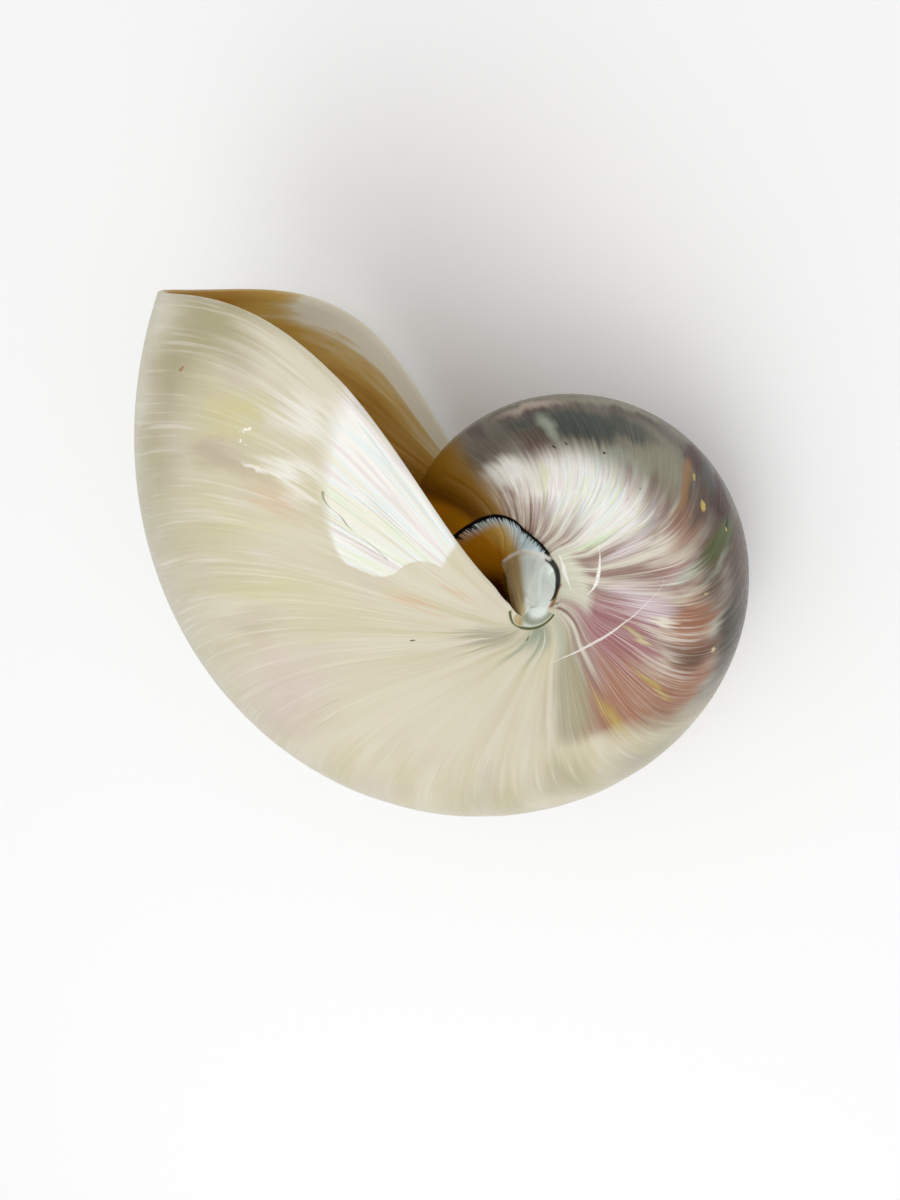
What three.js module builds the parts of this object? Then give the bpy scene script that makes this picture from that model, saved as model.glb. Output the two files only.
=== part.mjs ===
// A whole polished nautilus shell, lying on its flank.
//
// The shell is one grown piece: a coiled wall that opens into the living chamber, closed behind
// by the last septum. The coil behind that septum is solid here, because a closed chamber has no
// way out. Everything is drawn first in the shell's own frame, with the coiling axis along Z and
// the plane of symmetry at Z = 0, and is then turned into the position in which the shell lies.
//
// Growth is measured by an angle u in radians: 0 at the lip, and less than 0 further back.

import * as THREE from 'three';

// ---- Driving dimensions, in millimetres and radians ----

const LIP_RADIUS = 95;              // coiling axis to the venter (the outer edge), at the lip
const LIP_WALL = 1.2;               // thickness of the wall at the lip
const DEEP_WALL = 1.9;              // thickness of the wall at the last septum
const WHORL_RATIO = 3.12;           // growth of the spiral in one turn
const GROWTH_SWING = { sine: 0.017, cosine: 0.012 };    // slow and fast stretches in each turn
const NARROWING = 0.036;            // how much slower the width grows than the radius, per radian

// The section of the whorl, as parts of its radius.
const SECTION = {
  widestAt: 0.58,                   // how far out from the axis the whorl is widest
  halfWidth: 0.40,                  // half the width there
  axisHalfWidth: 0.375,             // half the width at the coiling axis
  flankPower: 1.38,                 // how flat the flanks are between the venter and the widest place
  ventRound: 0.3,                   // how rounded the venter is
  umbilicalPower: 1.23,             // how flat the flanks are near the axis
};

// How far the lip runs ahead of its place at the venter, as waves around the section.
const LIP_WAVES = [-0.05, 0.177, -0.052, 0.0145, -0.008];

// The callus that closes the umbilicus: a plug around the axis, sloping down ahead of the lip.
const PLUG = {
  radius: 4.6,                      // top of the plug
  foot: 8.2,                        // where its side wall meets the earlier whorl
  calm: 12.5,                       // the lip lies straight inside this radius
  slope: 1.75,                      // angle over which the plug falls to the earlier whorl
  dish: 1.3,                        // how hollow its top is
  lipRun: 0.35,                     // angle over which the wall reaches its thickness at the plug
};

const CHAMBER_ANGLE = 2.27;         // lip to the last septum
const SEPTUM_DEPTH = 13;            // how far the septum bulges back
const LIP_ROUND = 0.35;             // how far the lip's edge stands out, in wall thicknesses

// How the shell lies, in degrees: a turn about its own axis, then two leans onto its flank.
const LIE = { turn: 142.1, leanY: 17.5, leanX: 1.7 };

// ---- Fineness of the faceted solid ----

const COLUMNS_PER_TURN = 72;
const ROWS = 16;                    // from the venter to the plug, on each side
const PLUG_WALL_ROWS = 3;           // of these, rows on the side wall of the plug
const PLUG_RINGS = 2;               // rings on top of the plug
const SEPTUM_STEPS = 6;

const TURN = 2 * Math.PI;
const STEP = TURN / COLUMNS_PER_TURN;
const CHAMBER_COLUMNS = Math.round(CHAMBER_ANGLE / STEP);
const LIP_AT_AXIS = lipLead(Math.PI);

// ---- The form of the whorl ----

function smooth(from, to, value) {
  return THREE.MathUtils.smoothstep(value, from, to);
}

// Radius of the venter at spiral angle t.
function radius(t) {
  const swing = GROWTH_SWING.sine * Math.sin(t) + GROWTH_SWING.cosine * (1 - Math.cos(t));
  return LIP_RADIUS * Math.exp(Math.log(WHORL_RATIO) / TURN * t + swing);
}

// The section's reach from the axis and its half width, at angle theta from the venter.
function section(theta) {
  const { widestAt, halfWidth, axisHalfWidth, flankPower, ventRound, umbilicalPower } = SECTION;
  const sine = Math.sin(theta);
  const cosine = Math.cos(theta);
  if (theta <= Math.PI / 2) {
    const round = ventRound * ventRound;
    const flank = ((sine * sine + round) / (1 + round)) ** ((flankPower - 1) / 2);
    return { reach: widestAt + (1 - widestAt) * cosine, width: halfWidth * sine * flank };
  }
  return {
    reach: widestAt - widestAt * (-cosine) ** umbilicalPower,
    width: axisHalfWidth + (halfWidth - axisHalfWidth) * sine,
  };
}

// The angle theta, on the axis side of the widest place, at which the section has a given reach.
function thetaAtReach(reach) {
  const part = 1 - reach / SECTION.widestAt;
  return Math.PI - Math.acos(part ** (1 / SECTION.umbilicalPower));
}

function lipLead(theta) {
  return LIP_WAVES.reduce((sum, wave, k) => sum + wave * (1 - Math.cos((k + 1) * theta)), 0);
}

// A point on the outside of the whorl before the plug is added. Theta is signed: less than 0 on
// the side that faces the ground.
function whorlPoint(u, theta) {
  const across = Math.abs(theta);
  const { reach, width } = section(across);
  const near = smooth(PLUG.radius, PLUG.calm, radius(u + LIP_AT_AXIS) * reach);
  const t = u + LIP_AT_AXIS + (lipLead(across) - LIP_AT_AXIS) * near;
  const size = radius(t);
  const height = size * width * Math.exp(-NARROWING * t);
  return new THREE.Vector3(size * reach * Math.cos(t), -size * reach * Math.sin(t), Math.sign(theta) * height);
}

// The signed section angle of a row: rows 0 to ROWS run from the venter to the edge of the plug.
function rowAngle(u, row) {
  const size = radius(u + LIP_AT_AXIS);
  const index = Math.abs(row);
  const flankRows = ROWS - PLUG_WALL_ROWS;
  const footAngle = thetaAtReach(PLUG.foot / size);
  let theta = footAngle * index / flankRows;
  if (index > flankRows) {
    const along = (index - flankRows) / PLUG_WALL_ROWS;
    theta = thetaAtReach(THREE.MathUtils.lerp(PLUG.foot, PLUG.radius, along) / size);
  }
  return Math.sign(row) * theta;
}

function distanceFromAxis(point) {
  return Math.hypot(point.x, point.y);
}

// 1 on top of the plug, falling to 0 at its foot.
function plugShare(point) {
  return 1 - smooth(PLUG.radius, PLUG.foot, distanceFromAxis(point));
}

function wallThickness(u, point) {
  const full = THREE.MathUtils.lerp(LIP_WALL, DEEP_WALL, -u / CHAMBER_ANGLE);
  const run = smooth(0, PLUG.lipRun, -u);
  return full * (1 - plugShare(point) * (1 - run));
}

// Height of the outside at the plug's edge.
function plugEdgeHeight(u) {
  return whorlPoint(u, rowAngle(u, ROWS)).z;
}

// The outside of the shell, with the plug: also the floor of the living chamber, where u is less
// than one turn back.
function outerPoint(u, row) {
  const point = whorlPoint(u, rowAngle(u, row));
  const side = Math.sign(row);
  const share = plugShare(point);
  let target = plugEdgeHeight(0);
  let amount = share;
  if (u < -TURN) {
    const edge = new THREE.Vector3(PLUG.radius, 0, 0);
    target = plugEdgeHeight(u + TURN) - wallThickness(u + TURN, edge);
  } else {
    amount = share * (1 - smooth(0, PLUG.slope, u + TURN));
  }
  point.z = THREE.MathUtils.lerp(point.z, side * target, amount);
  return point;
}

function outwardNormal(u, theta) {
  const small = 1e-3;
  const along = whorlPoint(u + small, theta).sub(whorlPoint(u - small, theta));
  const across = whorlPoint(u, theta + small).sub(whorlPoint(u, theta - small));
  return across.cross(along).normalize();
}

// The inside of the wall of the living chamber.
function innerPoint(u, row) {
  const theta = rowAngle(u, row);
  const point = whorlPoint(u, theta);
  const towardsSide = new THREE.Vector3(0, 0, Math.sign(row));
  const normal = outwardNormal(u, theta).lerp(towardsSide, plugShare(point)).normalize();
  return point.addScaledVector(normal, -wallThickness(u, point));
}

// ---- The faceted solid ----

class ClosedSkin {
  constructor() {
    this.points = [];
    this.triangles = [];
  }

  add(point) {
    this.points.push(point.x, point.y, point.z);
    return this.points.length / 3 - 1;
  }

  triangle(a, b, c) {
    if (a !== b && b !== c && c !== a) this.triangles.push(a, b, c);
  }

  quad(a, b, c, d) {
    this.triangle(a, b, c);
    this.triangle(a, c, d);
  }

  geometry() {
    const geometry = new THREE.BufferGeometry();
    geometry.setAttribute('position', new THREE.Float32BufferAttribute(this.points, 3));
    geometry.setIndex(this.triangles);
    return geometry;
  }
}

const key = (column, row) => `${column},${row}`;

// Columns run from the last septum, on the earlier whorl, round the coil to the lip.
function addOutside(skin) {
  const outside = new Map();
  const last = COLUMNS_PER_TURN;
  for (let column = -CHAMBER_COLUMNS; column <= last; column++) {
    for (let row = -ROWS; row <= ROWS; row++) {
      const joined = column === last && Math.abs(row) === ROWS;
      const index = joined ? outside.get(key(0, row)) : skin.add(outerPoint(column * STEP - TURN, row));
      outside.set(key(column, row), index);
    }
  }
  for (let column = -CHAMBER_COLUMNS; column < last; column++) {
    for (let row = -ROWS; row < ROWS; row++) {
      skin.quad(
        outside.get(key(column, row)), outside.get(key(column, row + 1)),
        outside.get(key(column + 1, row + 1)), outside.get(key(column + 1, row)));
    }
  }
  return outside;
}

// The inside of the chamber's wall meets the earlier whorl along the edge of the plug.
function addInside(skin, outside) {
  const inside = new Map();
  const last = COLUMNS_PER_TURN;
  for (let column = last - CHAMBER_COLUMNS; column <= last; column++) {
    for (let row = -ROWS; row <= ROWS; row++) {
      const shared = outside.get(key(column - last, row));
      const index = Math.abs(row) === ROWS ? shared : skin.add(innerPoint(column * STEP - TURN, row));
      inside.set(key(column, row), index);
    }
  }
  for (let column = last - CHAMBER_COLUMNS; column < last; column++) {
    for (let row = -ROWS; row < ROWS; row++) {
      skin.quad(
        inside.get(key(column, row)), inside.get(key(column + 1, row)),
        inside.get(key(column + 1, row + 1)), inside.get(key(column, row + 1)));
    }
  }
  return inside;
}

// A strip between two matching lines of vertices, each given as a list from row -ROWS to ROWS.
function addStrip(skin, from, to) {
  for (let i = 0; i + 1 < from.length; i++) {
    skin.quad(from[i], from[i + 1], to[i + 1], to[i]);
  }
}

function lineOf(vertices, column) {
  const line = [];
  for (let row = -ROWS; row <= ROWS; row++) line.push(vertices.get(key(column, row)));
  return line;
}

function addLip(skin, outside, inside) {
  const outerLine = lineOf(outside, COLUMNS_PER_TURN);
  const innerLine = lineOf(inside, COLUMNS_PER_TURN);
  const edgeLine = outerLine.map((outer, i) => {
    if (outer === innerLine[i]) return outer;
    const row = i - ROWS;
    const outerEdge = outerPoint(0, row);
    const innerEdge = innerPoint(0, row);
    const forward = whorlPoint(1e-3, rowAngle(0, row)).sub(whorlPoint(-1e-3, rowAngle(0, row))).normalize();
    const reach = LIP_ROUND * outerEdge.distanceTo(innerEdge);
    return skin.add(outerEdge.lerp(innerEdge, 0.5).addScaledVector(forward, reach));
  });
  addStrip(skin, outerLine, edgeLine);
  addStrip(skin, edgeLine, innerLine);
}

// The last septum, hollow towards the lip.
function addSeptum(skin, outside, inside) {
  const from = COLUMNS_PER_TURN - CHAMBER_COLUMNS;
  const u = from * STEP - TURN;
  const backward = new THREE.Vector3(Math.sin(u), Math.cos(u), 0);
  const wallLine = lineOf(inside, from);
  const floorLine = lineOf(outside, from - COLUMNS_PER_TURN);
  let line = wallLine;
  for (let step = 1; step <= SEPTUM_STEPS; step++) {
    const share = step / SEPTUM_STEPS;
    const next = wallLine.map((wall, i) => {
      if (step === SEPTUM_STEPS || wall === floorLine[i]) return floorLine[i];
      const row = i - ROWS;
      const depth = SEPTUM_DEPTH * 4 * share * (1 - share) * (1 - (row / ROWS) ** 2);
      const point = innerPoint(u, row).lerp(outerPoint(u - TURN, row), share);
      return skin.add(point.addScaledVector(backward, depth));
    });
    addStrip(skin, line, next);
    line = next;
  }
}

// The hollow top of the plug on one side, from its edge to the coiling axis.
function addPlugTop(skin, outside, side) {
  const heights = [];
  for (let column = 0; column < COLUMNS_PER_TURN; column++) {
    heights.push(outerPoint(column * STEP - TURN, side * ROWS).z);
  }
  const middle = heights.reduce((sum, height) => sum + height, 0) / heights.length;
  const pole = skin.add(new THREE.Vector3(0, 0, middle));
  let ring = heights.map((_, column) => outside.get(key(column, side * ROWS)));
  for (let step = 1; step <= PLUG_RINGS; step++) {
    const share = 1 - step / PLUG_RINGS;
    const next = heights.map((height, column) => {
      if (step === PLUG_RINGS) return pole;
      const t = column * STEP - TURN + LIP_AT_AXIS;
      const reach = PLUG.radius * share;
      const level = THREE.MathUtils.lerp(middle, height, share ** PLUG.dish);
      return skin.add(new THREE.Vector3(reach * Math.cos(t), -reach * Math.sin(t), level));
    });
    for (let column = 0; column < COLUMNS_PER_TURN; column++) {
      const after = (column + 1) % COLUMNS_PER_TURN;
      if (side > 0) skin.quad(ring[column], next[column], next[after], ring[after]);
      else skin.quad(next[column], ring[column], ring[after], next[after]);
    }
    ring = next;
  }
}

function shellGeometry() {
  const skin = new ClosedSkin();
  const outside = addOutside(skin);
  const inside = addInside(skin, outside);
  addLip(skin, outside, inside);
  addSeptum(skin, outside, inside);
  addPlugTop(skin, outside, 1);
  addPlugTop(skin, outside, -1);
  return skin.geometry();
}

// Lays the shell on its flank, with the middle of its box over the origin and its lowest point
// at height 0.
function layDown(geometry) {
  geometry.rotateZ(THREE.MathUtils.degToRad(LIE.turn));
  geometry.rotateY(THREE.MathUtils.degToRad(LIE.leanY));
  geometry.rotateX(THREE.MathUtils.degToRad(LIE.leanX));
  geometry.computeBoundingBox();
  const { min, max } = geometry.boundingBox;
  return geometry.translate(-(min.x + max.x) / 2, -(min.y + max.y) / 2, -min.z);
}

const shell = new THREE.Mesh(
  layDown(shellGeometry()),
  new THREE.MeshStandardMaterial({ color: 0xe9e2d0, roughness: 0.22, metalness: 0 }));
shell.name = 'shell';

const nautilus = new THREE.Group();
nautilus.add(shell);

export default nautilus;
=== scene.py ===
"""A whole polished nautilus shell, lying on its flank on a pale surface.

The shell is one piece. Its fine mesh is worked out here from the same sizes as the frame's faceted
solid, and stands in its place. The shell's own frame has the coiling axis along Z and the plane of
symmetry at Z = 0. Growth is measured by an angle u in radians: 0 at the lip, and less further back.
"""

from __future__ import annotations

import logging
import math
from dataclasses import dataclass, field
from enum import Enum

import bpy
import numpy as np
from mathutils import Matrix, Vector


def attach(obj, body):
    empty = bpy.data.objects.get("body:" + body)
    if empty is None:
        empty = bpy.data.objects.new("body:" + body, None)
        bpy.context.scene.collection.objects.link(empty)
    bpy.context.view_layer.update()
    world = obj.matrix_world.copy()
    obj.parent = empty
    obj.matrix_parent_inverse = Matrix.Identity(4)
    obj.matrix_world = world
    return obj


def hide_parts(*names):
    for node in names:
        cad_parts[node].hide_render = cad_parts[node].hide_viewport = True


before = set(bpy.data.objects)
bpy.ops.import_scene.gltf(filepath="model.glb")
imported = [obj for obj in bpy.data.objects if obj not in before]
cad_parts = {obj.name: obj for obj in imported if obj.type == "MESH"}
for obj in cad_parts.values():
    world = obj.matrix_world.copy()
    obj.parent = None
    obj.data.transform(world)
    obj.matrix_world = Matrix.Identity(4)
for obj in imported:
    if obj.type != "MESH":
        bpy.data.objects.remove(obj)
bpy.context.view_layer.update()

log = logging.getLogger("nautilus")
TURN = 2 * math.pi
MILLIMETRES = 1000.0
Grid = np.ndarray
Line = tuple[tuple[float, float], ...]


class Side(Enum):
    """The two flanks of the shell, by the sign of their height over the plane of symmetry."""

    SHOWN = 1
    GROUND = -1


def smooth(low: float, high: float, value: Grid) -> Grid:
    """A soft step: 0 where the value is at low, 1 at high, and a smooth rise between them."""
    share = np.clip((value - low) / (high - low), 0.0, 1.0)
    return share * share * (3.0 - 2.0 * share)


@dataclass(frozen=True)
class Fade:
    """A soft change of a number: start where the value that it follows is at low, and end at high."""

    low: float
    high: float
    start: float = 0.0
    end: float = 1.0

    def at(self, value: Grid) -> Grid:
        """The number at each of these values."""
        return self.start + (self.end - self.start) * smooth(self.low, self.high, value)


def unit(vectors: Grid) -> Grid:
    """The same vectors, one unit long."""
    return vectors / np.maximum(np.linalg.norm(vectors, axis=-1, keepdims=True), 1e-12)


@dataclass(frozen=True)
class Section:
    """The outline of the whorl's section, as parts of its radius."""

    widest_at: float = 0.58
    half_width: float = 0.40
    axis_half_width: float = 0.375
    flank_power: float = 1.38
    vent_round: float = 0.3
    umbilical_power: float = 1.23

    def outline(self, theta: Grid) -> tuple[Grid, Grid]:
        """Reach and half width of the section.

        Args:
            theta: angle from the venter, 0 to pi at the coiling axis.

        Returns:
            The reach from the axis and the half width, as parts of the radius.
        """
        sine, cosine = np.sin(theta), np.cos(theta)
        rounding = self.vent_round**2
        flank = ((sine**2 + rounding) / (1 + rounding)) ** ((self.flank_power - 1) / 2)
        outer_reach = self.widest_at + (1 - self.widest_at) * cosine
        inner_reach = self.widest_at - self.widest_at * np.abs(cosine) ** self.umbilical_power
        inner_width = self.axis_half_width + (self.half_width - self.axis_half_width) * sine
        outer = theta <= math.pi / 2
        return (
            np.where(outer, outer_reach, inner_reach),
            np.where(outer, self.half_width * sine * flank, inner_width),
        )

    def theta_at_reach(self, reach: Grid) -> Grid:
        """The angle, on the axis side of the widest place, where the section has this reach."""
        part = np.clip(1 - reach / self.widest_at, 0.0, 1.0)
        return math.pi - np.arccos(part ** (1 / self.umbilical_power))


@dataclass(frozen=True)
class Plug:
    """The callus that closes the umbilicus, sloping down ahead of the lip. Sizes in metres."""

    radius: float = 0.0046
    foot: float = 0.0082
    calm: float = 0.0125
    slope: float = 1.75
    dish: float = 1.3
    lip_run: float = 0.35


@dataclass(frozen=True)
class Whorl:
    """The coiled form that everything else is laid out on. Lengths in metres, angles in radians."""

    lip_radius: float = 0.095
    lip_wall: float = 0.0012
    deep_wall: float = 0.0019
    turn_ratio: float = 3.12
    swing_sine: float = 0.017
    swing_cosine: float = 0.012
    narrowing: float = 0.036
    lip_waves: tuple[float, ...] = (-0.05, 0.177, -0.052, 0.0145, -0.008)
    chamber: float = 26 * TURN / 72
    section: Section = Section()
    plug: Plug = Plug()

    def radius(self, t: Grid) -> Grid:
        """Radius of the venter at spiral angle t."""
        swing = self.swing_sine * np.sin(t) + self.swing_cosine * (1 - np.cos(t))
        return self.lip_radius * np.exp(math.log(self.turn_ratio) / TURN * t + swing)

    def lead(self, theta: Grid) -> Grid:
        """How far the lip, and every growth line, runs ahead of its place at the venter."""
        waves = enumerate(self.lip_waves, start=1)
        return sum(wave * (1 - np.cos(k * theta)) for k, wave in waves)

    @property
    def lead_at_axis(self) -> float:
        """The lip's lead at the coiling axis."""
        return float(self.lead(np.array(math.pi)))

    def point(self, u: Grid, theta: Grid) -> Grid:
        """A point on the outside of the whorl, before the plug is added.

        Args:
            u: growth angle.
            theta: signed angle from the venter, less than 0 on the ground side.

        Returns:
            The points in the shell's own frame.
        """
        across = np.abs(theta)
        reach, width = self.section.outline(across)
        near = smooth(self.plug.radius, self.plug.calm, self.radius(u + self.lead_at_axis) * reach)
        t = u + self.lead_at_axis + (self.lead(across) - self.lead_at_axis) * near
        size = self.radius(t)
        height = size * width * np.exp(-self.narrowing * t)
        spread = size * reach
        return np.stack([spread * np.cos(t), -spread * np.sin(t), np.sign(theta) * height], axis=-1)

    def normal(self, u: Grid, theta: Grid) -> Grid:
        """The outward direction at each point of the outside.

        Args:
            u: growth angle.
            theta: signed angle from the venter.

        Returns:
            Vectors one unit long.
        """
        small = 1e-3
        along = self.point(u + small, theta) - self.point(u - small, theta)
        across = self.point(u, theta + small) - self.point(u, theta - small)
        return unit(np.cross(across, along))


@dataclass(frozen=True)
class Fineness:
    """How finely the shell is meshed."""

    columns: int = 456
    chamber_columns: int = 84
    rows: int = 64
    plug_wall_rows: int = 10
    crowding: float = 0.5
    plug_rings: int = 5
    septum_steps: int = 16
    lip_steps: int = 4


@dataclass
class Skin:
    """Vertices, faces and painted values of a mesh while it is being made."""

    points: list[Grid] = field(default_factory=list)
    faces: list[Grid] = field(default_factory=list)
    values: dict[str, list[Grid]] = field(default_factory=dict)
    count: int = 0

    def add(self, points: Grid, **values: Grid | float) -> Grid:
        """Adds a block of points.

        Args:
            points: an array of any shape, with 3 numbers last.
            values: one painted value per point, or one number for the whole block.

        Returns:
            The index of each point, in the block's shape.
        """
        shape = points.shape[:-1]
        size = int(np.prod(shape))
        self.points.append(points.reshape(-1, 3))
        for name, value in values.items():
            block = np.broadcast_to(np.asarray(value, dtype=float), shape).reshape(-1)
            self.values.setdefault(name, []).append(block)
        indices = np.arange(self.count, self.count + size).reshape(shape)
        self.count += size
        return indices

    def sheet(self, indices: Grid, flip: bool = False) -> None:
        """Adds the quads between neighbours of a grid of indices.

        Args:
            indices: the grid, as the points were added.
            flip: whether the quads face the other way.
        """
        a, b = indices[:-1, :-1], indices[:-1, 1:]
        c, d = indices[1:, 1:], indices[1:, :-1]
        corners = (a, d, c, b) if flip else (a, b, c, d)
        self.faces.append(np.stack(corners, axis=-1).reshape(-1, 4))

    def mesh(self, name: str) -> bpy.types.Mesh:
        """Makes the mesh, with its painted values as attributes.

        Args:
            name: what the mesh is called.

        Returns:
            The finished mesh.
        """
        corners = [list(dict.fromkeys(face)) for face in np.concatenate(self.faces).tolist()]
        mesh = bpy.data.meshes.new(name)
        mesh.from_pydata(np.concatenate(self.points).tolist(), [], [f for f in corners if len(f) > 2])
        for title, blocks in self.values.items():
            if title == "growth":
                self.write_growth(mesh, np.concatenate(blocks))
                continue
            attribute = mesh.attributes.new(title, "FLOAT", "POINT")
            attribute.data.foreach_set("value", np.concatenate(blocks))
        mesh.polygons.foreach_set("use_smooth", [True] * len(mesh.polygons))
        mesh.update()
        return mesh

    @staticmethod
    def write_growth(mesh: bpy.types.Mesh, growth: Grid) -> None:
        """Writes the growth angle per face corner, so that it doesn't jump inside a face at the seam.

        Args:
            mesh: the finished mesh.
            growth: the angle of each vertex, in degrees.
        """
        vertices = np.empty(len(mesh.loops), dtype=np.int64)
        mesh.loops.foreach_get("vertex_index", vertices)
        starts = np.empty(len(mesh.polygons), dtype=np.int64)
        mesh.polygons.foreach_get("loop_start", starts)
        values = growth[vertices]
        face_of_corner = np.repeat(np.arange(len(starts)), np.diff(np.append(starts, len(values))))
        nearest = np.maximum.reduceat(values, starts)[face_of_corner]
        values = values + 360.0 * (nearest - values > 180.0)
        attribute = mesh.attributes.new("growth", "FLOAT", "CORNER")
        attribute.data.foreach_set("value", values)


def trace(value: Grid, points: Line) -> Grid:
    """Straight lines through (x, y) points, looked up at each value."""
    return np.interp(value, [x for x, _ in points], [y for _, y in points])


@dataclass(frozen=True)
class Umbilicus:
    """The lines around the coiling axis: how far out each lies, in millimetres, at each turned angle.

    The turned angle is in degrees, clockwise around the axis as the shown side is looked down on.
    """

    film: Line = (
        (-40, 22.5), (-10, 20.3), (9, 19.1), (22, 18.2), (33, 16.0), (44, 12.4), (62, 9.4),
        (72, 8.2),
    )
    ink: Line = ((68, 7.7), (85, 6.8), (99, 5.8), (116, 4.5), (132, 3.0), (157, 2.0))
    crest: Line = ((4, 8.5), (30, 8.6), (50, 8.2), (70, 7.7))
    lobe: Line = ((-180, 3.6), (-130, 3.7), (-77, 4.2), (-38, 5.4), (-14, 6.6))


@dataclass
class Lie:
    """Where each vertex of the mesh lies: the values that the relief follows."""

    growth: Grid
    across: Grid
    outer: Grid
    spread: Grid
    turned: Grid
    height: Grid


@dataclass(frozen=True)
class Relief:
    """Fine relief on the outside: growth ribs, the film's edge and the rim of the callus.

    Heights are in metres. Angles are in degrees and spreads in millimetres, as in the umbilicus.
    """

    umbilicus: Umbilicus = Umbilicus()
    rib_height: float = 0.00009
    swell_height: float = 0.00012
    film_depth: float = 0.00045
    rim_height: float = 0.0005
    crest_height: float = 0.0004
    rib_beats: Line = ((1.31, 0.4), (1.87, 2.1), (2.63, 4.4), (0.83, 1.2))
    swell_beats: Line = ((0.21, 0.3), (0.34, 1.9), (0.55, 3.0))
    shoulder: Fade = Fade(20.0, 60.0)
    off_callus: Fade = Fade(7.0, 12.0)
    rib_run: Fade = Fade(-160.0, -215.0)
    swell_run: Fade = Fade(0.0, -8.0)
    ahead: Fade = Fade(-280.0, -292.0)
    film_edge: Fade = Fade(0.0, 0.5)
    film_far_end: Fade = Fade(74.0, 68.0)
    film_near_end: Fade = Fade(-60.0, -40.0)
    film_top: float = 0.03
    crest_width: float = 0.45
    crest_near_end: Fade = Fade(0.0, 14.0)
    crest_far_end: Fade = Fade(74.0, 66.0)
    rim_width: float = 0.5
    rim_start: Fade = Fade(-12.0, -30.0)
    rim_run: Fade = Fade(-60.0, -30.0)
    rim_turn: float = -100.0
    rim_shift: float = 40.0
    rim_reach: float = 8.0

    @staticmethod
    def beat(growth: Grid, beats: Line) -> Grid:
        """Uneven waves along the growth, between -1 and 1."""
        return sum(np.sin(growth * pace + start) for pace, start in beats) / len(beats)

    @staticmethod
    def ridge(off: Grid, width: float) -> Grid:
        """A rounded ridge, by how far off its middle a point is."""
        return np.exp(-((off / width) ** 2))

    def carve(self, mesh: bpy.types.Mesh, skin: Skin) -> None:
        """Moves the outside's vertices along their normals.

        Args:
            mesh: the shell's mesh, in its own frame.
            skin: the values that were painted on its vertices.
        """
        points = np.empty(len(mesh.vertices) * 3)
        mesh.vertices.foreach_get("co", points)
        normals = np.empty(len(mesh.vertices) * 3)
        mesh.vertices.foreach_get("normal", normals)
        points, normals = points.reshape(-1, 3), normals.reshape(-1, 3)
        lie = Lie(
            growth=np.concatenate(skin.values["growth"]),
            across=np.concatenate(skin.values["across"]),
            outer=1 - np.concatenate(skin.values["inner"]),
            spread=np.linalg.norm(points[:, :2], axis=1) * MILLIMETRES,
            turned=np.degrees(np.arctan2(-points[:, 1], points[:, 0])),
            height=np.abs(points[:, 2]),
        )
        rise = self.waves(lie) + self.film(lie) + self.crest(lie) + self.rim(lie)
        points = points + normals * rise[:, None]
        mesh.vertices.foreach_set("co", points.ravel())
        mesh.update()

    def waves(self, lie: Lie) -> Grid:
        """The growth ribs on the coil and the slow swells of the whole outside.

        Args:
            lie: where the vertices lie.

        Returns:
            Their height at each vertex.
        """
        shoulder = self.shoulder.at(lie.across) * self.off_callus.at(lie.spread) * lie.outer
        ribs = self.beat(lie.growth, self.rib_beats) * self.rib_height * self.rib_run.at(lie.growth)
        swells = self.beat(lie.growth, self.swell_beats) * self.swell_height * self.swell_run.at(lie.growth)
        return (ribs + swells) * shoulder

    def film(self, lie: Lie) -> Grid:
        """The step down inside the film's edge.

        Args:
            lie: where the vertices lie.

        Returns:
            The height at each vertex, less than 0 inside the edge.
        """
        low = self.film_edge.at(trace(lie.turned, self.umbilicus.film) - lie.spread)
        low = low * self.film_far_end.at(lie.turned) * self.film_near_end.at(lie.turned)
        return -self.film_depth * low * self.ahead.at(lie.growth) * (lie.height < self.film_top)

    def crest(self, lie: Lie) -> Grid:
        """The crest over the callus.

        Args:
            lie: where the vertices lie.

        Returns:
            Its height at each vertex.
        """
        crest = self.ridge(lie.spread - trace(lie.turned, self.umbilicus.crest), self.crest_width)
        crest = crest * self.crest_near_end.at(lie.turned) * self.crest_far_end.at(lie.turned)
        return crest * self.ahead.at(lie.growth) * self.crest_height

    def rim(self, lie: Lie) -> Grid:
        """The rim around the callus's lobe.

        Args:
            lie: where the vertices lie.

        Returns:
            Its height at each vertex.
        """
        rim = self.ridge(lie.spread - trace(lie.turned, self.umbilicus.lobe), self.rim_width)
        shifted = lie.growth + self.rim_shift * (lie.turned < self.rim_turn)
        rim = rim * self.rim_start.at(lie.turned) * self.rim_run.at(shifted) * self.rim_height
        return rim * (lie.spread < self.rim_reach)


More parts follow.
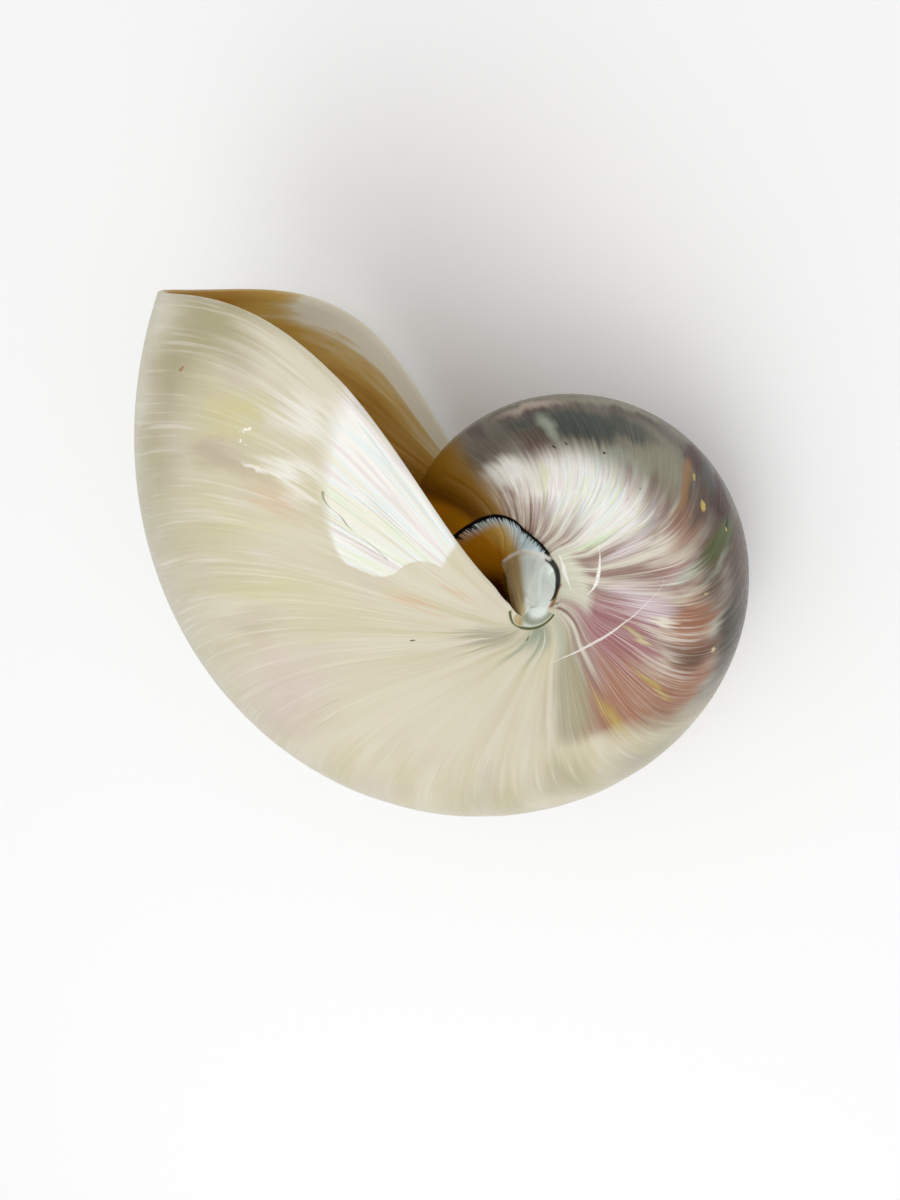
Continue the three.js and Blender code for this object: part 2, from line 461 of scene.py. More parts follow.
@dataclass
class NautilusShell:
    """The shell: its outside, the living chamber's wall and floor, the last septum and the plugs."""

    whorl: Whorl = Whorl()
    fine: Fineness = Fineness()
    septum_depth: float = 0.013
    lip_round: float = 0.35
    covered_run: float = 0.12
    turn: float = 142.1
    lean_y: float = 17.5
    lean_x: float = 1.7
    relief: Relief = Relief()
    place: Matrix = field(default_factory=Matrix)

    def row_angles(self, u: Grid, rows: Grid) -> Grid:
        """The signed section angle of each row at each growth angle.

        Args:
            u: growth angles, one for each column.
            rows: row numbers, 0 at the venter and less on the ground side.

        Returns:
            The angles, a line for each column.
        """
        plug, fine = self.whorl.plug, self.fine
        size = self.whorl.radius(u + self.whorl.lead_at_axis)[:, None]
        index = np.abs(rows)[None, :].astype(float)
        flank_rows = fine.rows - fine.plug_wall_rows
        share = np.clip(index / flank_rows, 0.0, 1.0)
        share = share + fine.crowding * share * (1 - share)
        foot_angle = self.whorl.section.theta_at_reach(plug.foot / size)
        along = np.clip((index - flank_rows) / fine.plug_wall_rows, 0.0, 1.0)
        wall = self.whorl.section.theta_at_reach((plug.foot + (plug.radius - plug.foot) * along) / size)
        return np.sign(rows)[None, :] * np.where(index > flank_rows, wall, foot_angle * share)

    def section_degrees(self, u: Grid, rows: Grid) -> Grid:
        """The section angle of each row in degrees, 0 at the venter and the same on both sides."""
        return np.degrees(np.abs(self.row_angles(u, rows)))

    def plug_share(self, points: Grid) -> Grid:
        """1 on top of the plug, falling to 0 at its foot."""
        distance = np.linalg.norm(points[..., :2], axis=-1)
        return 1 - smooth(self.whorl.plug.radius, self.whorl.plug.foot, distance)

    def wall_thickness(self, u: Grid, share: Grid) -> Grid:
        """Thickness of the living chamber's wall, thinner at the lip and where it meets the plug.

        Args:
            u: growth angle.
            share: how much of the plug is there, from 0 to 1.

        Returns:
            The thickness in metres.
        """
        whorl = self.whorl
        full = whorl.lip_wall + (whorl.deep_wall - whorl.lip_wall) * -u / whorl.chamber
        return full * (1 - share * (1 - smooth(0.0, whorl.plug.lip_run, -u)))

    def edge_height(self, u: Grid) -> Grid:
        """Height of the outside at the plug's edge."""
        angles = self.row_angles(u, np.array([self.fine.rows]))
        return self.whorl.point(u[:, None], angles)[:, 0, 2]

    def outside(self, u: Grid, rows: Grid) -> Grid:
        """The outside of the shell with the plug, and the chamber's floor where u is beyond a turn.

        Args:
            u: growth angles, one for each column.
            rows: row numbers.

        Returns:
            The points in the shell's own frame.
        """
        angles = self.row_angles(u, rows)
        points = self.whorl.point(u[:, None], angles)
        share = self.plug_share(points)
        lip_height = self.edge_height(np.zeros(1))[0]
        inner_height = self.edge_height(u + TURN) - self.wall_thickness(u + TURN, np.ones(1))
        target = np.where(u < -TURN - 1e-9, inner_height, lip_height)
        fall = 1 - smooth(0.0, self.whorl.plug.slope, u + TURN)
        amount = share * fall[:, None]
        height = np.sign(rows)[None, :] * target[:, None]
        points[..., 2] += (height - points[..., 2]) * amount
        return points

    def inside(self, u: Grid, rows: Grid) -> Grid:
        """The inside of the living chamber's wall.

        Args:
            u: growth angles, one for each column.
            rows: row numbers.

        Returns:
            The points in the shell's own frame.
        """
        angles = self.row_angles(u, rows)
        points = self.whorl.point(u[:, None], angles)
        share = self.plug_share(points)
        upright = np.zeros_like(points)
        upright[..., 2] = np.sign(rows)[None, :]
        normal = self.whorl.normal(u[:, None], angles)
        normal = unit(normal + (upright - normal) * share[..., None])
        return points - normal * self.wall_thickness(u[:, None], share)[..., None]

    def build(self) -> bpy.types.Object:
        """Meshes the whole shell and lays it down.

        Returns:
            The shell's object, with its place in its mesh.
        """
        skin = Skin()
        whorl, fine = self.whorl, self.fine
        rows = np.arange(-fine.rows, fine.rows + 1)
        back = np.linspace(-TURN - whorl.chamber, -TURN, fine.chamber_columns + 1)
        coil = np.linspace(-TURN, 0.0, fine.columns + 1)
        columns = np.concatenate([back[:-1], coil])
        start = len(back) - 1

        outer = self.outside(columns, rows)
        covered = smooth(-TURN, -TURN - self.covered_run, columns)[:, None]
        angles = self.section_degrees(columns, rows)
        outside = skin.add(outer, growth=np.degrees(columns)[:, None], across=angles, inner=covered)
        ends = [0, -1]
        outside[-1, ends] = outside[start, ends]
        skin.sheet(outside)

        inner = self.inside(back + TURN, rows)
        depth = np.degrees(back + TURN)[:, None]
        inside = skin.add(inner, growth=depth, across=self.section_degrees(back + TURN, rows), inner=1.0)
        inside[:, ends] = outside[: start + 1, ends]
        skin.sheet(inside, flip=True)

        self.add_lip(skin, outside[-1], inside[-1], outer[-1], inner[-1])
        self.add_septum(skin, inside[0], outside[0], inner[0], outer[0])
        for side in Side:
            column = -1 if side is Side.SHOWN else 0
            self.add_plug_top(skin, outside[start:, column], outer[start:, column, 2], coil, side)

        mesh = skin.mesh("nautilus_shell")
        self.relief.carve(mesh, skin)
        self.write_own_coordinates(mesh)
        self.lay_down(mesh)
        shell = bpy.data.objects.new("nautilus_shell", mesh)
        bpy.context.scene.collection.objects.link(shell)
        log.info("shell: %d vertices, %d faces", len(mesh.vertices), len(mesh.polygons))
        return shell

    def add_lip(self, skin: Skin, outer: Grid, inner: Grid, outer_points: Grid, inner_points: Grid) -> None:
        """Closes the wall at the lip with a rounded edge.

        Args:
            skin: the mesh being made.
            outer: indices along the outside's last line.
            inner: indices along the inside's last line.
            outer_points: the points of the outside's line.
            inner_points: the points of the inside's line.
        """
        rows = np.arange(-self.fine.rows, self.fine.rows + 1)
        angles = self.row_angles(np.zeros(1), rows)[0]
        forward = unit(self.whorl.point(1e-3, angles) - self.whorl.point(-1e-3, angles))
        wall = np.linalg.norm(outer_points - inner_points, axis=-1)[:, None]
        line = outer
        for step in range(1, self.fine.lip_steps + 1):
            share = step / self.fine.lip_steps
            if step == self.fine.lip_steps:
                line_after = inner
            else:
                bulge = math.sin(math.pi * share) * self.lip_round
                points = outer_points + (inner_points - outer_points) * share + forward * wall * bulge
                line_after = skin.add(points, growth=0.0, across=np.degrees(np.abs(angles)), inner=share)
                line_after[[0, -1]] = outer[[0, -1]]
            skin.sheet(np.stack([line, line_after]), flip=False)
            line = line_after

    def add_septum(self, skin: Skin, wall: Grid, floor: Grid, wall_points: Grid, floor_points: Grid) -> None:
        """Closes the deep end of the living chamber with the last septum, hollow towards the lip.

        Args:
            skin: the mesh being made.
            wall: indices along the wall's deepest line.
            floor: indices along the floor's deepest line.
            wall_points: the points of the wall's line.
            floor_points: the points of the floor's line.
        """
        rows = np.arange(-self.fine.rows, self.fine.rows + 1)
        u = -self.whorl.chamber
        angles = self.section_degrees(np.array([u]), rows)[0]
        backward = np.array([math.sin(u), math.cos(u), 0.0])
        line = wall
        for step in range(1, self.fine.septum_steps + 1):
            share = step / self.fine.septum_steps
            if step == self.fine.septum_steps:
                line_after = floor
            else:
                depth = self.septum_depth * 4 * share * (1 - share) * (1 - (rows / self.fine.rows) ** 2)
                points = wall_points + (floor_points - wall_points) * share + backward * depth[:, None]
                line_after = skin.add(points, growth=math.degrees(u), across=angles, inner=1.0)
                line_after[[0, -1]] = wall[[0, -1]]
            skin.sheet(np.stack([line, line_after]), flip=False)
            line = line_after

    def add_plug_top(self, skin: Skin, edge: Grid, heights: Grid, coil: Grid, side: Side) -> None:
        """Adds the hollow top of the plug on one side, from its edge to the coiling axis.

        Args:
            skin: the mesh being made.
            edge: indices around the plug's edge.
            heights: the edge's heights.
            coil: growth angles around the edge.
            side: the flank that the plug is on.
        """
        plug = self.whorl.plug
        t = coil + self.whorl.lead_at_axis
        middle = float(heights[:-1].mean())
        ring = edge
        for step in range(1, self.fine.plug_rings + 1):
            share = 1 - step / self.fine.plug_rings
            level = middle + (heights - middle) * share**plug.dish
            spread = plug.radius * share
            points = np.stack([spread * np.cos(t), -spread * np.sin(t), level], axis=-1)
            if share == 0:
                pole = skin.add(points[:1], growth=-180.0, across=180.0, inner=0.0)
                ring_after = np.full(len(t), pole[0])
            else:
                ring_after = skin.add(points, growth=np.degrees(coil), across=180.0, inner=0.0)
                ring_after[-1] = ring_after[0]
            skin.sheet(np.stack([ring, ring_after]), flip=side is Side.SHOWN)
            ring = ring_after

    def write_own_coordinates(self, mesh: bpy.types.Mesh) -> None:
        """Keeps each point's place in the shell's own frame, in millimetres, for the finishes.

        Args:
            mesh: the shell's mesh, in its own frame.
        """
        points = np.empty(len(mesh.vertices) * 3)
        mesh.vertices.foreach_get("co", points)
        own = mesh.attributes.new("own", "FLOAT_VECTOR", "POINT")
        own.data.foreach_set("vector", points * MILLIMETRES)

    def lay_down(self, mesh: bpy.types.Mesh) -> None:
        """Turns the shell onto its flank, over the origin and with its lowest point at height 0.

        Args:
            mesh: the shell's mesh, in its own frame.
        """
        turned = (
            Matrix.Rotation(math.radians(self.lean_x), 4, "X")
            @ Matrix.Rotation(math.radians(self.lean_y), 4, "Y")
            @ Matrix.Rotation(math.radians(self.turn), 4, "Z")
        )
        mesh.transform(turned)
        points = np.empty(len(mesh.vertices) * 3)
        mesh.vertices.foreach_get("co", points)
        low, high = points.reshape(-1, 3).min(axis=0), points.reshape(-1, 3).max(axis=0)
        shift = Matrix.Translation((-(low[0] + high[0]) / 2, -(low[1] + high[1]) / 2, -low[2]))
        mesh.transform(shift)
        self.place = shift @ turned


class Tone(Enum):
    """The colours of the shell, as they look in plain daylight."""

    CREAM = "#d9d2bc"
    STRAW = "#c6be96"
    PEARL = "#f4f2ea"
    BLUSH = "#d0c1b5"
    MAUVE = "#b9a796"
    OLIVE = "#a0976a"
    YELLOW = "#d3cb90"
    PEACH = "#d6b492"
    SAGE = "#a7b19d"
    PUTTY = "#a8a284"
    STONE = "#8f8b76"
    SILVER = "#d6cfbd"
    TAUPE = "#95796d"
    CHARCOAL = "#3f443d"
    DUSK = "#3c3223"
    UMBER = "#523d2e"
    MAROON = "#3a0f08"
    COPPER = "#9a6c38"
    ROSE = "#a06d70"
    CLAY = "#a06e52"
    LILAC = "#d6c4cc"
    MINT = "#cfe6b8"
    ICE = "#d4e9ef"
    LEAF = "#48561f"
    GOLD = "#bfa858"
    HONEY = "#93690c"
    AMBER = "#b27608"
    BROWN = "#552b03"
    TAN = "#b0802a"
    BEIGE = "#caa453"
    STEEL = "#7f8fa6"
    BLACK = "#08080c"
    MILK = "#e6eee6"
    PALE = "#d9dac4"
    IVORY = "#e9e2cc"
    SAND = "#d8c494"
    LICHEN = "#939a83"

    @property
    def rgba(self) -> tuple[float, float, float, float]:
        """The colour in linear light.

        Returns:
            Red, green and blue, and full opacity.
        """
        parts = [int(self.value[i : i + 2], 16) / 255 for i in (1, 3, 5)]
        linear = [p / 12.92 if p <= 0.04045 else ((p + 0.055) / 1.055) ** 2.4 for p in parts]
        return (linear[0], linear[1], linear[2], 1.0)


Socket = bpy.types.NodeSocket
Value = Socket | float
Colour = Socket | Tone
Inputs = dict[int | str, object]
Stops = tuple[tuple[float, Tone], ...]


@dataclass
class Graph:
    """Short ways to add nodes to one material."""

    tree: bpy.types.NodeTree

    def node(self, kind: str, inputs: Inputs | None = None, **settings: object) -> bpy.types.Node:
        """Adds a node.

        Args:
            kind: the node's type, without its prefix.
            inputs: what each input socket is linked to or holds.
            settings: the node's own properties.

        Returns:
            The node.
        """
        node = self.tree.nodes.new("ShaderNode" + kind)
        for name, value in settings.items():
            setattr(node, name, value)
        for key, value in (inputs or {}).items():
            if isinstance(value, Socket):
                self.tree.links.new(value, node.inputs[key])
            else:
                node.inputs[key].default_value = value.rgba if isinstance(value, Tone) else value
        return node

    def number(self, operation: str, *values: Value) -> Socket:
        """A sum on numbers, by the name of the operation."""
        return self.node("Math", dict(enumerate(values)), operation=operation).outputs[0]

    def vector(self, operation: str, *values: object) -> Socket:
        """A sum on vectors, whose result is a vector."""
        return self.node("VectorMath", dict(enumerate(values)), operation=operation).outputs["Vector"]

    def length(self, vector: Socket) -> Socket:
        """The length of a vector."""
        return self.node("VectorMath", {0: vector}, operation="LENGTH").outputs["Value"]

    def join(self, x: Value, y: Value, z: Value) -> Socket:
        """A vector from three numbers."""
        return self.node("CombineXYZ", {0: x, 1: y, 2: z}).outputs[0]

    def product(self, *values: Value) -> Socket:
        """Multiplies numbers.

        Args:
            values: two numbers or more.

        Returns:
            Their product.
        """
        result = values[0]
        for value in values[1:]:
            result = self.number("MULTIPLY", result, value)
        return result

    def distance(self, place: Socket, centre: tuple[float, float], halves: tuple[float, float]) -> Socket:
        """How far a place is from a centre, in half sizes of the oval around it.

        Args:
            place: a vector with the place in its first two parts.
            centre: the middle of the oval.
            halves: the oval's half sizes.

        Returns:
            The distance, 1 on the oval.
        """
        scale = (1 / halves[0], 1 / halves[1], 0.0)
        shift = (-centre[0] / halves[0], -centre[1] / halves[1], 0.0)
        return self.length(self.vector("MULTIPLY_ADD", place, scale, shift))

    def fade(self, value: Value, fade: Fade) -> Socket:
        """A soft change that follows a value.

        Args:
            value: the value that it follows.
            fade: its places and sizes.

        Returns:
            The changed number.
        """
        inputs = {
            "Value": value,
            "From Min": fade.low,
            "From Max": fade.high,
            "To Min": fade.start,
            "To Max": fade.end,
        }
        return self.node("MapRange", inputs, interpolation_type="SMOOTHSTEP").outputs["Result"]

    def noise(self, place: Socket, scale: float, detail: float) -> Socket:
        """Noise from 0 to 1 at a place."""
        inputs = {"Vector": place, "Scale": scale, "Detail": detail, "Roughness": 0.5}
        return self.node("TexNoise", inputs).outputs[0]

    def attribute(self, name: str, output: str = "Fac") -> Socket:
        """A value that the mesh holds."""
        return self.node("Attribute", attribute_name=name).outputs[output]

    def mix(self, amount: Value, under: Colour, over: Colour) -> Socket:
        """Lays one colour over another."""
        return self.node("Mix", {0: amount, 6: under, 7: over}, data_type="RGBA").outputs[2]

    def mix_number(self, amount: Value, under: Value, over: Value) -> Socket:
        """A number between two others."""
        return self.node("Mix", {0: amount, 2: under, 3: over}, data_type="FLOAT").outputs[0]

    def ramp(self, value: Value, stops: Stops) -> Socket:
        """A colour that changes with a value from 0 to 1.

        Args:
            value: what it changes with.
            stops: places along the value, each with its colour.

        Returns:
            The colour.
        """
        node = self.node("ValToRGB", {0: value})
        elements = node.color_ramp.elements
        while len(elements) < len(stops):
            elements.new(0.5)
        for element, (place, tone) in zip(elements, stops):
            element.position = place
            element.color = tone.rgba
        return node.outputs[0]

    def curve(self, value: Value, points: Line) -> Socket:
        """A smooth curve through the points, held level past its ends.

        Args:
            value: where to look the curve up.
            points: its (x, y) points, from low x to high.

        Returns:
            The curve's height at the value.
        """
        low, high = points[0][0], points[-1][0]
        bottom, top = min(y for _, y in points), max(y for _, y in points)
        inputs = {"Value": value, "From Min": low, "From Max": high}
        share = self.node("MapRange", inputs).outputs["Result"]
        node = self.node("FloatCurve", {"Value": share})
        line = node.mapping.curves[0]
        while len(line.points) < len(points):
            line.points.new(0.5, 0.5)
        for knot, (x, y) in zip(line.points, points):
            knot.location = ((x - low) / (high - low), (y - bottom) / (top - bottom))
        node.mapping.update()
        inputs = {"Value": node.outputs[0], "To Min": bottom, "To Max": top}
        return self.node("MapRange", inputs).outputs["Result"]


# The direction from the mouth to the coil, in the shell's own X and Y.
COILWARD = (-0.795, -0.606)
# How far apart the noises of the two flanks are taken.
FLANK_OFFSET = 3.7
# How far patches are shaken, along the growth and across it, and how far their ends are drawn out.
WANDER = (16.0, 26.0)
FEATHER = Fade(35.0, 95.0, 6.0, 34.0)
# How far specks are shaken, along the growth and across it.
CRUMBS = (1.7, 5.0, 0.0)


@dataclass
class Surface:
    """Where a point lies on the shell, and the noises laid along its growth, as sockets.

    Growth and section angles are in degrees. The spread is the distance from the coiling axis and
    the turned angle goes around it, so the two give a place by the umbilicus, in millimetres.
    """

    graph: Graph
    own: Socket = field(init=False)
    growth: Socket = field(init=False)
    across: Socket = field(init=False)
    inner: Socket = field(init=False)
    spread: Socket = field(init=False)
    turned: Socket = field(init=False)
    coilward: Socket = field(init=False)
    side: Socket = field(init=False)
    hair: Socket = field(init=False)
    fine: Socket = field(init=False)
    broad: Socket = field(init=False)
    mottle: Socket = field(init=False)
    grain: Socket = field(init=False)
    flat: Socket = field(init=False)

    def __post_init__(self) -> None:
        """Reads the mesh's values and lays out the noises."""
        graph = self.graph
        self.own = graph.attribute("own", "Vector")
        self.growth = graph.attribute("growth")
        self.across = graph.attribute("across")
        self.inner = graph.attribute("inner")
        x, y, z = graph.node("SeparateXYZ", {0: self.own}).outputs
        self.spread = graph.length(graph.join(x, y, 0.0))
        angle = graph.number("ARCTAN2", graph.number("MULTIPLY", y, -1.0), x)
        self.turned = graph.number("DEGREES", angle)
        crosswise = graph.number("MULTIPLY", y, COILWARD[1])
        self.coilward = graph.number("MULTIPLY_ADD", x, COILWARD[0], crosswise)
        self.side = graph.number("SIGN", z)
        self.hair = self.streaks(along=1.9, over=0.03, seed=1.0)
        self.fine = self.streaks(along=0.62, over=0.022, seed=5.0)
        self.broad = self.streaks(along=0.14, over=0.016, seed=11.0, detail=4.0)
        self.mottle = graph.noise(self.own, scale=0.06, detail=4.0)
        self.grain = graph.noise(self.own, scale=0.9, detail=3.0)
        self.flat = graph.join(self.growth, self.across, 0.0)

    def streaks(self, along: float, over: float, seed: float, detail: float = 3.0) -> Socket:
        """Noise drawn out along the growth lines, and not the same on both flanks.

        Args:
            along: its pace along the growth, a degree.
            over: its pace along a growth line, a degree.
            seed: what tells one noise from another.
            detail: how many finer noises are in it.

        Returns:
            The noise, from 0 to 1.
        """
        graph = self.graph
        offset = graph.number("MULTIPLY_ADD", self.side, FLANK_OFFSET, seed)
        x = graph.number("MULTIPLY", self.growth, along)
        y = graph.number("MULTIPLY", self.across, over)
        return graph.noise(graph.join(x, y, offset), 1.0, detail)

    def feathered(self) -> Socket:
        """The place in growth and section angle, shaken so that patches get ragged, drawn-out edges.

        Returns:
            The shaken place, as a vector.
        """
        graph = self.graph
        noises = graph.join(self.mottle, self.broad, 0.0)
        middle = (-WANDER[0] / 2, -WANDER[1] / 2, 0.0)
        wander = graph.vector("MULTIPLY_ADD", noises, (*WANDER, 0.0), middle)
        streaks = graph.number("SUBTRACT", self.fine, 0.5)
        feather = graph.number("MULTIPLY", streaks, graph.fade(self.across, FEATHER))
        shaken = graph.vector("ADD", self.flat, wander)
        return graph.vector("ADD", shaken, graph.join(0.0, feather, 0.0))

    def crumbled(self) -> Socket:
        """The place in growth and section angle, shaken finely so that specks lose their roundness.

        Returns:
            The shaken place, as a vector.
        """
        graph = self.graph
        grain = graph.number("SUBTRACT", self.grain, 0.5)
        crumbs = graph.vector("MULTIPLY", graph.join(grain, grain, 0.0), CRUMBS)
        return graph.vector("ADD", self.flat, crumbs)


@dataclass(frozen=True)
class Patch:
    """A soft patch of colour. Its place and half sizes are growth and section angles in degrees."""

    tone: Tone
    growth: float
    across: float
    half_length: float
    half_width: float
    strength: float = 0.8
    core: float = 0.1

    def lay(self, graph: Graph, place: Socket, under: Colour) -> Socket:
        """Lays the patch over the colour beneath, where a place is a vector of growth and section angle."""
        distance = graph.distance(place, (self.growth, self.across), (self.half_length, self.half_width))
        return graph.mix(graph.fade(distance, Fade(1.0, self.core, 0.0, self.strength)), under, self.tone)


@dataclass(frozen=True)
class Stroke:
    """A narrow line of colour along a curve through (x, y) points."""

    tone: Tone
    points: Line
    half_width: float
    strength: float = 0.9
    run_out: float = 2.0
    tapered: bool = False
    tip: float = 0.15
    solid: float = 0.4

    def lay(self, graph: Graph, x: Socket, y: Socket, under: Colour) -> Socket:
        """Lays the line over what is there, where y is on the curve over x.

        Args:
            graph: the material's nodes.
            x: the value that the curve runs along.
            y: the value that the curve gives.
            under: the colour beneath.

        Returns:
            The colour with the line on it.
        """
        off = graph.number("ABSOLUTE", graph.number("SUBTRACT", y, graph.curve(x, self.points)))
        first, last = self.points[0][0], self.points[-1][0]
        if self.tapered:
            away = graph.number("ABSOLUTE", graph.number("SUBTRACT", x, (first + last) / 2))
            slimness = graph.fade(away, Fade((last - first) / 2, 0.0, self.tip, 1.0))
            off = graph.number("DIVIDE", off, slimness)
        line = graph.fade(off, Fade(self.half_width, self.half_width * self.solid, 0.0, self.strength))
        start = graph.fade(x, Fade(first - self.run_out, first))
        end = graph.fade(x, Fade(last + self.run_out, last))
        return graph.mix(graph.product(line, start, end), under, self.tone)


@dataclass(frozen=True)
class Flank:
    """The cream flanks of the living chamber, with soft clouds and fine growth lines."""

    straw: Fade = Fade(0.36, 0.66, 0.05, 0.6)
    blush: Fade = Fade(0.5, 0.7, 0.0, 0.5)
    pearl_lines: Fade = Fade(0.55, 0.78, 0.0, 0.16)
    dull_hair: Fade = Fade(0.46, 0.25, 0.0, 0.2)
    light_hair: Fade = Fade(0.54, 0.72, 0.0, 0.3)
    light_hair_run: Fade = Fade(-110.0, -30.0)
    shoulder: Fade = Fade(76.0, 30.0, 0.0, 0.55)
    shoulder_run: Fade = Fade(-10.0, -34.0)
    venter: Fade = Fade(42.0, 6.0, 0.0, 0.75)
    patches: tuple[Patch, ...] = (
        # The olive patches by the tip are partly the shell's olive tint and partly painted shade on the
        # flank.
        Patch(Tone.OLIVE, -3, 50, 14, 26, 0.75),
        Patch(Tone.OLIVE, -20, 44, 16, 20, 0.55),
        Patch(Tone.YELLOW, -13, 75, 7, 14, 0.55),
        Patch(Tone.MAUVE, -19.5, 77, 4.0, 16, 0.6, 0.2),
        Patch(Tone.PEACH, -24, 90, 5, 13, 0.45),
        Patch(Tone.YELLOW, -30, 80, 5, 16, 0.35),
        Patch(Tone.PEARL, -8, 88, 6, 9, 0.6),
        Patch(Tone.PEARL, -19, 96, 6, 7, 0.7),
        Patch(Tone.YELLOW, -44, 92, 8, 30, 0.25),
        Patch(Tone.MAUVE, -51, 76, 4, 26, 0.35),
        Patch(Tone.BLUSH, -68, 80, 20, 36, 0.75),
        Patch(Tone.CREAM, -96, 112, 44, 34, 0.85),
        Patch(Tone.BLUSH, -128, 88, 5, 14, 0.5),
        Patch(Tone.PEACH, -38, 128, 6, 7, 0.7),
        Patch(Tone.PEACH, -20, 134, 6, 6, 0.6),
        Patch(Tone.PUTTY, -62, 146, 34, 13, 0.7),
        Patch(Tone.SAGE, -118, 150, 36, 14, 0.95),
        Patch(Tone.LICHEN, -114, 152, 36, 12, 0.65, 0.2),
        Patch(Tone.SAGE, -158, 140, 14, 20, 0.6),
        Patch(Tone.MAUVE, -157, 118, 3, 14, 0.7),
        Patch(Tone.STONE, -170, 52, 20, 36, 0.6),
        Patch(Tone.PUTTY, -150, 78, 15, 26, 0.6),
        Patch(Tone.PUTTY, -128, 70, 16, 26, 0.35),
        Patch(Tone.STONE, -62, 142, 24, 9, 0.5),
    )

    def paint(self, at: Surface, place: Socket) -> Socket:
        """Paints the flanks.

        Args:
            at: the shell's surface.
            place: growth and section angle, feathered.

        Returns:
            The flanks' colour.
        """
        graph = at.graph
        colour = graph.mix(graph.fade(at.broad, self.straw), Tone.CREAM, Tone.STRAW)
        colour = graph.mix(graph.fade(at.mottle, self.blush), colour, Tone.BLUSH)
        for patch in self.patches:
            colour = patch.lay(graph, place, colour)
        colour = graph.mix(graph.fade(at.fine, self.pearl_lines), colour, Tone.PEARL)
        run = graph.fade(at.growth, self.shoulder_run)
        colour = graph.mix(graph.product(graph.fade(at.across, self.shoulder), run), colour, Tone.PUTTY)
        colour = graph.mix(graph.fade(at.hair, self.dull_hair), colour, Tone.PUTTY)
        run = graph.fade(at.growth, self.light_hair_run)
        colour = graph.mix(graph.product(graph.fade(at.hair, self.light_hair), run), colour, Tone.PEARL)
        # Greyer towards the venter, partly painted shade where the flank turns away from the light.
        return graph.mix(graph.fade(at.across, self.venter), colour, Tone.PUTTY)


# Pastel colours of the painted sheen on the coil's fan and on the pale band.
SHEEN_PASTELS: Stops = (
    (0.30, Tone.IVORY),
    (0.38, Tone.LILAC),
    (0.45, Tone.PEARL),
    (0.52, Tone.ICE),
    (0.58, Tone.IVORY),
    (0.64, Tone.MINT),
    (0.70, Tone.PEARL),
    (0.78, Tone.YELLOW),
)


